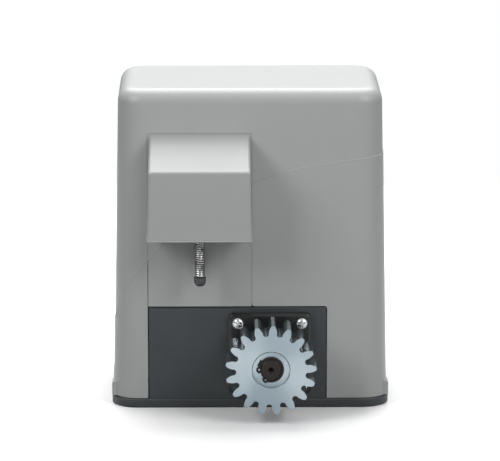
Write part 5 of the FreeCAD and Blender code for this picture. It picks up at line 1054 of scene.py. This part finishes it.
    def thread_screws(self) -> None:
        """Makes the four levelling screws, each with its thread and socket."""
        boxes = [box_of(corners) for corners in solids_of("levelling_screws")]
        size = boxes[-1][1] - boxes[-1][0]
        sizes = {"Core Radius": size.x / 2 - self.crest * MM, "Thread Depth": self.crest * MM, "Length": size.z,
                 "Turns": size.z / (self.pitch * MM), "Socket Radius": self.socket * MM}
        grubs = grow("levelling_screws.threaded", grub_tree(), sizes, BRIGHT_ZINC,
                     [(low + high) / 2 for low, high in boxes],
                     [Vector((0, 0, self.step * i)) for i in range(len(boxes))])
        finished(grubs, "root", "zinc_screw", "levelling_screws")


@dataclass
class Drivetrain(Assembly):
    """Pinion, flange, shaft, worm gear, clutch and release."""

    finishes: dict[str, Finish] = field(default_factory=lambda: {
        "bearing_flange": BLACK_ENAMEL, "drive_pinion": BLUE_ZINC, "output_shaft": BLACK_OXIDE,
        "output_key": BLACK_OXIDE, "pinion_circlip": BLACK_OXIDE, "worm_wheel": WHEEL_BRONZE,
        "clutch_ring": GROUND_STEEL, "clutch_pin": GROUND_SHAFT, "release_rod": GROUND_STEEL,
        "worm_shaft": GROUND_SHAFT, "rotor_core": LAMINATIONS, "oil_seal": RUBBER,
        "front_bearing": replace(BEARING_STEEL, along="Y", about=SHAFT),
        "rear_bearing": replace(BEARING_STEEL, along="Y", about=SHAFT),
        "worm_foot_bearing": BEARING_STEEL, "worm_top_bearing": BEARING_STEEL,
        "release_knob": KNOB_RED, "lock_barrel": NICKEL, "gear_case_gasket": FIBRE,
        "gear_case_lid": CAST_ALUMINIUM})


@dataclass
class InductionMotor(Assembly):
    """The motor on the gear case, with its capacitor."""

    finishes: dict[str, Finish] = field(default_factory=lambda: {
        "motor_lower_bell": CAST_ALUMINIUM, "motor_upper_bell": CAST_ALUMINIUM, "stator_stack": LAMINATIONS,
        "stator_windings": WINDING_WIRE, "motor_top_bearing": BEARING_STEEL, "motor_capacitor": CAPACITOR_CAN,
        "capacitor_clamp": ZINC_SHEET})


@dataclass
class LimitSwitch(Assembly):
    """Spring lever and the switches it works.

    Attributes:
        wire: Wire diameter of the spring, in millimetres.
        start: Where the wire starts about the spring's axis, in radians.
    """

    wire: float = 1.86
    start: float = 0.7
    finishes: dict[str, Finish] = field(default_factory=lambda: {
        "limit_pivot": GROUND_STEEL, "limit_hub": NYLON, "limit_tip": CAP_NYLON, "limit_rocker": NYLON,
        "switch_plate": ZINC_SHEET, "microswitches": PHENOLIC, "switch_lever_left": ZINC_SHEET,
        "switch_lever_right": ZINC_SHEET})

    def build(self) -> None:
        """Dresses the switch and winds its spring, whose turns lie close together."""
        super().build()
        low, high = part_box("limit_spring")
        wire = self.wire * MM
        tall = high.z - low.z - wire
        foot = Vector(((low.x + high.x) / 2, (low.y + high.y) / 2, low.z + wire / 2))
        sizes = {"Coil Radius": (high.x - low.x - wire) / 2, "Wire Radius": wire / 2, "Turns": tall / wire,
                 "Height": tall}
        coil = grow("spring_coil", coil_tree(), sizes, SPRING_WIRE, [foot], [Vector((0, 0, self.start))])
        finished(coil, "limit_lever", "spring_steel", "limit_spring")


def row(count: int, pitch: float, x: float, z: float, up: bool = False) -> tuple[tuple[float, float], ...]:
    """Gives evenly spaced places about a middle.

    Args:
        count: How many.
        pitch: Their spacing, in millimetres.
        x: Middle of the row, across the board.
        z: Middle of the row, up the board.
        up: Whether the row runs up the board.

    Returns:
        The places across and up the board.
    """
    steps = [(i - (count - 1) / 2) * pitch for i in range(count)]
    return tuple((x, z + step) if up else (x + step, z) for step in steps)


@dataclass(frozen=True)
class Bits:
    """Small parts of one outline, size and finish on the board.

    Attributes:
        name: Name of the piece.
        form: Their outline.
        size: Width across the board, depth up it and height off it, in millimetres.
        finish: What they are made of.
        slot: The record's material slot.
        spots: Places from the board's middle, across and up, in millimetres.
        lift: Height of their foot above the board, in millimetres.
        edge: Width of the softened edge, in millimetres.
        spin: Turn about the board's normal, in degrees.
        node: CAD node that they stand for.
    """

    name: str
    form: Form
    size: Triple
    finish: Finish
    slot: str
    spots: tuple[tuple[float, float], ...]
    lift: float = 0.0
    edge: float = 0.2
    spin: float = 0.0
    node: str = ""


RESISTORS = row(5, 5, -34, 4) + row(4, 4, 22, -2)
TRIMMERS = row(4, 8.5, 3.75, -19.5)
LEDS = row(6, 7, 47.5, -21)
BOARD_BITS = (
    Bits("chip_legs", Form.BLOCK, (7.8, 0.9, 1.6), TINNED, "nickel_brass",
         row(3, 2.54, -62, 4, True) + row(3, 2.54, -54, 4, True), edge=0.1),
    Bits("chips", Form.BLOCK, (6.2, 8.4, 3.4), EPOXY, "switch_plastic", ((-62, 4), (-54, 4)), lift=0.7),
    Bits("controller_legs_across", Form.BLOCK, (12.6, 0.4, 0.5), TINNED, "nickel_brass",
         row(10, 0.9, -12, -6, True), edge=0.08),
    Bits("controller_legs_up", Form.BLOCK, (0.4, 12.6, 0.5), TINNED, "nickel_brass", row(10, 0.9, -12, -6), edge=0.08),
    Bits("controller", Form.BLOCK, (10, 10, 1.6), EPOXY, "switch_plastic", ((-12, -6),), lift=0.35),
    Bits("driver_legs", Form.BLOCK, (0.45, 6.4, 0.5), TINNED, "nickel_brass", row(8, 1.27, 18, 10), edge=0.08),
    Bits("driver", Form.BLOCK, (10.2, 4, 1.6), EPOXY, "switch_plastic", ((18, 10),), lift=0.3),
    Bits("crystal", Form.BLOCK, (11, 4.6, 3.6), TINNED, "nickel_brass", ((-14, 4),), edge=1.0),
    Bits("resistor_leads", Form.BARREL, (0.6, 9.6, 0.6), TINNED, "nickel_brass", RESISTORS, lift=1.1, edge=0.1),
    Bits("resistors", Form.BARREL, (2.4, 6.3, 2.4), RESISTOR_BODY, "terminal_plastic", RESISTORS, lift=0.2,
         edge=0.35),
    *(Bits(f"resistor_bands_{name}", Form.BARREL, (2.5, 0.6, 2.5), lacquer, "terminal_plastic",
           tuple((x, z + up) for x, z in RESISTORS), lift=0.15, edge=0.05)
      for name, lacquer, up in (("low", BAND_BROWN, -1.7), ("mid", BAND_RED, -0.4), ("high", BAND_BROWN, 1.9))),
    Bits("trimmers", Form.BLOCK, (6.6, 6.6, 4.4), RELAY_BLUE, "relay_plastic", TRIMMERS, edge=0.3),
    Bits("option_switch", Form.BLOCK, (21.6, 9.6, 4.6), KNOB_RED, "knob_plastic", ((-40, -19.5),), edge=0.3),
    Bits("option_levers", Form.BLOCK, (1.2, 1.7, 0.9), BUTTON_WHITE, "button_plastic",
         tuple((x, z + (1.0 if i % 3 else -1.0)) for i, (x, z) in enumerate(row(8, 2.54, -40, -19.5))), lift=4.5,
         edge=0.15),
    *(Bits(f"{name}_lamps", Form.DOME, (3, 3, 4.6), lens, "terminal_plastic", spots, edge=0.3)
      for name, lens, spots in (("red", LENS_RED, LEDS[:3]), ("green", LENS_GREEN, LEDS[3:]))),
    Bits("lamp_rims", Form.CAN, (3.8, 3.8, 0.9), BUTTON_WHITE, "button_plastic", LEDS),
    Bits("large_film_capacitor", Form.BLOCK, (18, 8.5, 14), FILM_YELLOW, "coil_tape", ((-56, 44),), edge=0.5),
    Bits("small_film_capacitor", Form.BLOCK, (13, 6, 11), RELAY_BLUE, "relay_plastic", ((-24, 44),), edge=0.5),
    Bits("varistor", Form.BARREL, (10, 4, 10), LENS_RED, "terminal_plastic", ((-40, 44),), lift=1.2, edge=1.0),
    Bits("headers", Form.BLOCK, (10.1, 2.5, 2.5), EPOXY, "switch_plastic", ((0, 44), (12, 44)), edge=0.2),
    Bits("header_pins", Form.BLOCK, (0.64, 0.64, 8.2), GILT, "nickel_brass",
         row(4, 2.54, 0, 44) + row(4, 2.54, 12, 44), edge=0.12),
    Bits("fuse_base", Form.BLOCK, (21.8, 6.6, 0.8), EPOXY, "switch_plastic", ((-41, -8),)),
    Bits("fuse_tube", Form.BARREL, (5, 20, 5), FUSE_GLASS, "fuse_glass", ((-41, -8),), lift=1.5, spin=90,
         node="board_fuse"),
    Bits("fuse_wire", Form.BARREL, (0.4, 16, 0.4), TINNED, "nickel_brass", ((-41, -8),), lift=3.8, edge=0.05, spin=90),
    Bits("fuse_caps", Form.BARREL, (5.4, 5.2, 5.4), TINNED, "nickel_brass", ((-49.3, -8), (-32.7, -8)), lift=1.3,
         spin=90),
    Bits("fuse_clips", Form.BLOCK, (3.4, 6.4, 4.6), BRIGHT_ZINC, "zinc_sheet", ((-49.0, -8), (-33.0, -8)), edge=0.4),
    Bits("receiver_chip", Form.BLOCK, (9, 5, 1.4), EPOXY, "switch_plastic", ((44, -4),), lift=7.1),
    Bits("receiver_parts", Form.BLOCK, (2, 1.2, 0.7), BAND_BROWN, "terminal_plastic", row(5, 4, 50, -13), lift=7.15))


@dataclass
class Electronics(Assembly):
    """Control board, its parts, the carrier and the transformer.

    Sizes and places are millimetres, and places run from the board's middle: across it, off its face and up it.
    A screw's size is its head's diameter and height and its shank's diameter and length.

    Attributes:
        rotor: Size of a trimmer's rotor.
        rotor_lift: Height of its seat.
        clamp: Size of a terminal screw.
        clamps: Screws in one block.
        clamp_pitch: Spacing of those screws.
        clamp_lift: Height of their seats.
        clamp_row: Where their row lies up the board.
        block_pitch: Spacing of the three terminal blocks.
        coil: Coil radius, wire radius and height of the receiver's coil.
        coil_turns: Its turns.
        coil_spot: Place of its foot.
    """

    rotor: tuple[float, ...] = (4.4, 0.8, 3.0, 1.0)
    rotor_lift: float = 4.4
    clamp: tuple[float, ...] = (3.4, 0.7, 2.4, 2.0)
    clamps: int = 7
    clamp_pitch: float = 5.0
    clamp_lift: float = 11.0
    clamp_row: float = -31.3
    block_pitch: float = 46.0
    coil: Triple = (2.0, 0.35, 5.0)
    coil_turns: float = 6.0
    coil_spot: Triple = (58.0, 7.4, -3.0)
    finishes: dict[str, Finish] = field(default_factory=lambda: {
        "board_carrier": NYLON, "control_board": SOLDER_MASK, "board_terminals": TERMINAL_GREEN,
        "board_relays": RELAY_BLUE, "board_capacitors": SLEEVE, "heat_sink": CAST_ALUMINIUM,
        "receiver_module": SOLDER_MASK, "button_case": PHENOLIC, "program_button": BUTTON_WHITE,
        "transformer_core": replace(LAMINATIONS, along="Y"), "transformer_coil": COIL_TAPE,
        "transformer_strap": ZINC_SHEET})

    def build(self) -> None:
        """Dresses the electronics and sets the small parts on the board."""
        super().build()
        for bits in BOARD_BITS:
            sizes = dict(zip(BIT_SIZES, (size * MM for size in (*bits.size, bits.edge))))
            points = [self.spot(x, bits.lift, z) for x, z in bits.spots]
            turn = facing(OFF_BOARD, math.radians(bits.spin))
            piece = grow(bits.name, bit_tree(bits.form), sizes, bits.finish, points, [turn] * len(points))
            finished(piece, "root", bits.slot, *([bits.node] if bits.node else []))
        self.add_adjusters()

    def spot(self, x: float, lift: float, z: float) -> Vector:
        """Turns a place on the board to the object's frame.

        Args:
            x: Millimetres across from the board's middle.
            lift: Millimetres off its face.
            z: Millimetres up from its middle.

        Returns:
            The point, in metres.
        """
        low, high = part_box("control_board")
        return Vector(((low.x + high.x) / 2, high.y, (low.z + high.z) / 2)) + Vector((x, lift, z)) * MM

    def add_adjusters(self) -> None:
        """Adds the trimmers' rotors, the terminal screws and the receiver's coil."""
        seats = [self.spot(x, self.rotor_lift, z) for x, z in TRIMMERS]
        clamps = [self.spot(middle + x, self.clamp_lift, z) for middle, z in row(3, self.block_pitch, 0, self.clamp_row)
                  for x, _ in row(self.clamps, self.clamp_pitch, 0, 0)]
        for name, drive, size, finish, slot, points, step in (
                ("trimmer_rotors", Drive.CROSS, self.rotor, BUTTON_WHITE, "button_plastic", seats, 0.5),
                ("terminal_screws", Drive.SLOT, self.clamp, BRIGHT_ZINC, "zinc_screw", clamps, 0.7)):
            sizes = dict(zip(SCREW_SIZES, (value * MM for value in size)))
            turns = [facing(OFF_BOARD, step * i) for i in range(len(points))]
            finished(grow(name, screw_tree(drive), sizes, finish, points, turns), "root", slot)
        radius, wire, height = (value * MM for value in self.coil)
        coil = grow("receiver_coil", coil_tree(),
                    {"Coil Radius": radius, "Wire Radius": wire, "Turns": self.coil_turns, "Height": height},
                    WINDING_WIRE, [self.spot(*self.coil_spot)], [facing(OFF_BOARD)])
        finished(coil, "root", "copper_winding")


@dataclass
class Lamp:
    """A soft box.

    Attributes:
        name: What it does.
        azimuth: Degrees from -Y towards +X.
        elevation: Degrees above the floor.
        distance: From the target, in metres.
        size: Width and height, in metres.
        power: In watts.
    """

    name: str
    azimuth: float
    elevation: float
    distance: float
    size: tuple[float, float]
    power: float


@dataclass
class Studio:
    """Camera, soft boxes, world and floor.

    Attributes:
        target: What the camera and the lamps look at, in millimetres.
        yaw: The camera's place about the target, in degrees from -Y towards +X.
        pitch: Its height above the floor's plane, in degrees.
        distance: Its distance from the target, in millimetres.
        lens: Its focal length, in millimetres.
        lamps: The soft boxes.
        sky: Strength of the surround on matt surfaces.
        gloss_low: Its strength in gloss that looks level or down.
        gloss_high: Its strength in gloss that looks up.
        floor_half: Half the floor's width, in metres.
        bounce: The floor's colour to diffuse light, sRGB hex.
    """

    target: Triple = (0.5, 0.0, 138.2)
    yaw: float = -0.65
    pitch: float = 11.90
    distance: float = 3102.0
    lens: float = 258.3
    lamps: tuple[Lamp, ...] = (
        Lamp("overhead", 180.0, 60.0, 1.5, (1.5, 1.5), 38.0),
        Lamp("left key", -48.0, 32.0, 1.5, (0.6, 0.6), 9.5),
        Lamp("right key", 40.0, 32.0, 1.5, (0.6, 0.6), 8.0),
        Lamp("front fill", 0.0, 4.0, 2.0, (1.2, 0.4), 3.2),
        Lamp("right strip", 62.0, 22.0, 1.7, (0.12, 1.3), 3.8))
    sky: float = 0.15
    gloss_low: float = 0.1
    gloss_high: float = 0.9
    floor_half: float = 0.9
    bounce: str = "#505050"

    def aim(self, azimuth: float, elevation: float, distance: float) -> Vector:
        """Finds a point on a sphere about the target.

        Args:
            azimuth: Degrees from -Y towards +X.
            elevation: Degrees above the floor.
            distance: Radius, in metres.

        Returns:
            The point, in metres.
        """
        a, e = math.radians(azimuth), math.radians(elevation)
        way = Vector((math.sin(a) * math.cos(e), -math.cos(a) * math.cos(e), math.sin(e)))
        return Vector(self.target) * MM + way * distance

    def place(self, thing: bpy.types.Object, spot: Vector) -> None:
        """Puts a lamp or camera at a spot and points it at the target.

        Args:
            thing: The lamp or camera.
            spot: The spot, in metres.
        """
        thing.location = spot
        thing.rotation_euler = (Vector(self.target) * MM - spot).to_track_quat("-Z", "Y").to_euler()
        bpy.context.scene.collection.objects.link(thing)

    def build(self) -> None:
        """Sets up the view and the light."""
        scene = bpy.context.scene
        scene.view_settings.view_transform = "Standard"
        camera = bpy.data.objects.new("camera", bpy.data.cameras.new("camera"))
        camera.data.lens = self.lens
        camera.data.clip_end = 50
        self.place(camera, self.aim(self.yaw, self.pitch, self.distance * MM))
        scene.camera = camera
        for lamp in self.lamps:
            light = bpy.data.lights.new(lamp.name, "AREA")
            light.shape = "RECTANGLE"
            light.size, light.size_y = lamp.size
            light.energy = lamp.power
            self.place(bpy.data.objects.new(lamp.name, light), self.aim(lamp.azimuth, lamp.elevation, lamp.distance))
        self.light_world(scene)
        self.lay_floor()

    def light_world(self, scene: bpy.types.Scene) -> None:
        """Makes a surround that is white to the camera, and to gloss a room with a pale ceiling and greyer walls.

        Args:
            scene: The scene.
        """
        scene.world = bpy.data.worlds.new("white surround")
        scene.world.use_nodes = True
        tree = scene.world.node_tree
        ray = add(tree, "ShaderNodeLightPath")
        way = add(tree, "ShaderNodeSeparateXYZ", {0: add(tree, "ShaderNodeTexCoord").outputs["Generated"]})
        room = add(tree, "ShaderNodeMapRange", {"Value": way.outputs["Z"], "From Min": -0.1, "From Max": 0.8,
                                                "To Min": self.gloss_low, "To Max": self.gloss_high})
        gloss = add(tree, "ShaderNodeMapRange", {"Value": ray.outputs["Is Glossy Ray"], "To Min": self.sky,
                                                 "To Max": room.outputs[0]})
        seen = add(tree, "ShaderNodeMath", {0: ray.outputs["Is Camera Ray"], 1: ray.outputs["Is Transmission Ray"]},
                   operation="MAXIMUM")
        level = add(tree, "ShaderNodeMapRange", {"Value": seen.outputs[0], "To Min": gloss.outputs[0], "To Max": 1.0})
        tree.links.new(level.outputs[0], tree.nodes["Background"].inputs["Strength"])
        tree.nodes["Background"].inputs["Color"].default_value = (1, 1, 1, 1)

    def lay_floor(self) -> None:
        """Lays a white floor that keeps the object's shadow."""
        half = self.floor_half
        mesh = bpy.data.meshes.new("floor")
        mesh.from_pydata([(-half, -half, 0), (half, -half, 0), (half, half, 0), (-half, half, 0)], [], [(0, 1, 2, 3)])
        floor = bpy.data.objects.new("floor", mesh)
        bpy.context.scene.collection.objects.link(floor)
        white = bpy.data.materials.new("white paper")
        white.use_nodes = True
        tree = white.node_tree
        shader = tree.nodes["Principled BSDF"]
        fibre = add(tree, "ShaderNodeTexNoise",
                    {"Vector": add(tree, "ShaderNodeTexCoord").outputs["Object"], "Scale": noise_scale(3)})
        tint = add(tree, "ShaderNodeMix", {0: fibre.outputs["Fac"], 6: linear("#FFFFFF"), 7: linear("#FDFDFD")},
                   data_type="RGBA")
        # the paper looks white, and lights the object from below as a grey table would
        ray = add(tree, "ShaderNodeLightPath")
        bounce = add(tree, "ShaderNodeMix", {0: ray.outputs["Is Diffuse Ray"], 6: tint.outputs[2],
                                             7: linear(self.bounce)}, data_type="RGBA")
        tree.links.new(bounce.outputs[2], shader.inputs["Base Color"])
        shader.inputs["Roughness"].default_value = 0.9
        shader.inputs["Specular IOR Level"].default_value = 0.1
        mesh.materials.append(white)


def main() -> None:
    """Builds the sub-assemblies in order and dresses every node."""
    logging.basicConfig(level=logging.INFO, format="%(name)s: %(message)s")
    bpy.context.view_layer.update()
    for assembly in (Studio(), Housing(), Drivetrain(), InductionMotor(), LimitSwitch(), Electronics(),
                     ScrewSet("flange_screws"), ScrewSet("m3_screws"), ScrewSet("m4_screws"),
                     ScrewSet("gear_case_screws", Drive.HEXAGON), ScrewSet("cover_screws"),
                     ScrewSet("motor_tie_bolts", Drive.HEXAGON)):
        assembly.build()


if __name__ == "__main__":
    main()
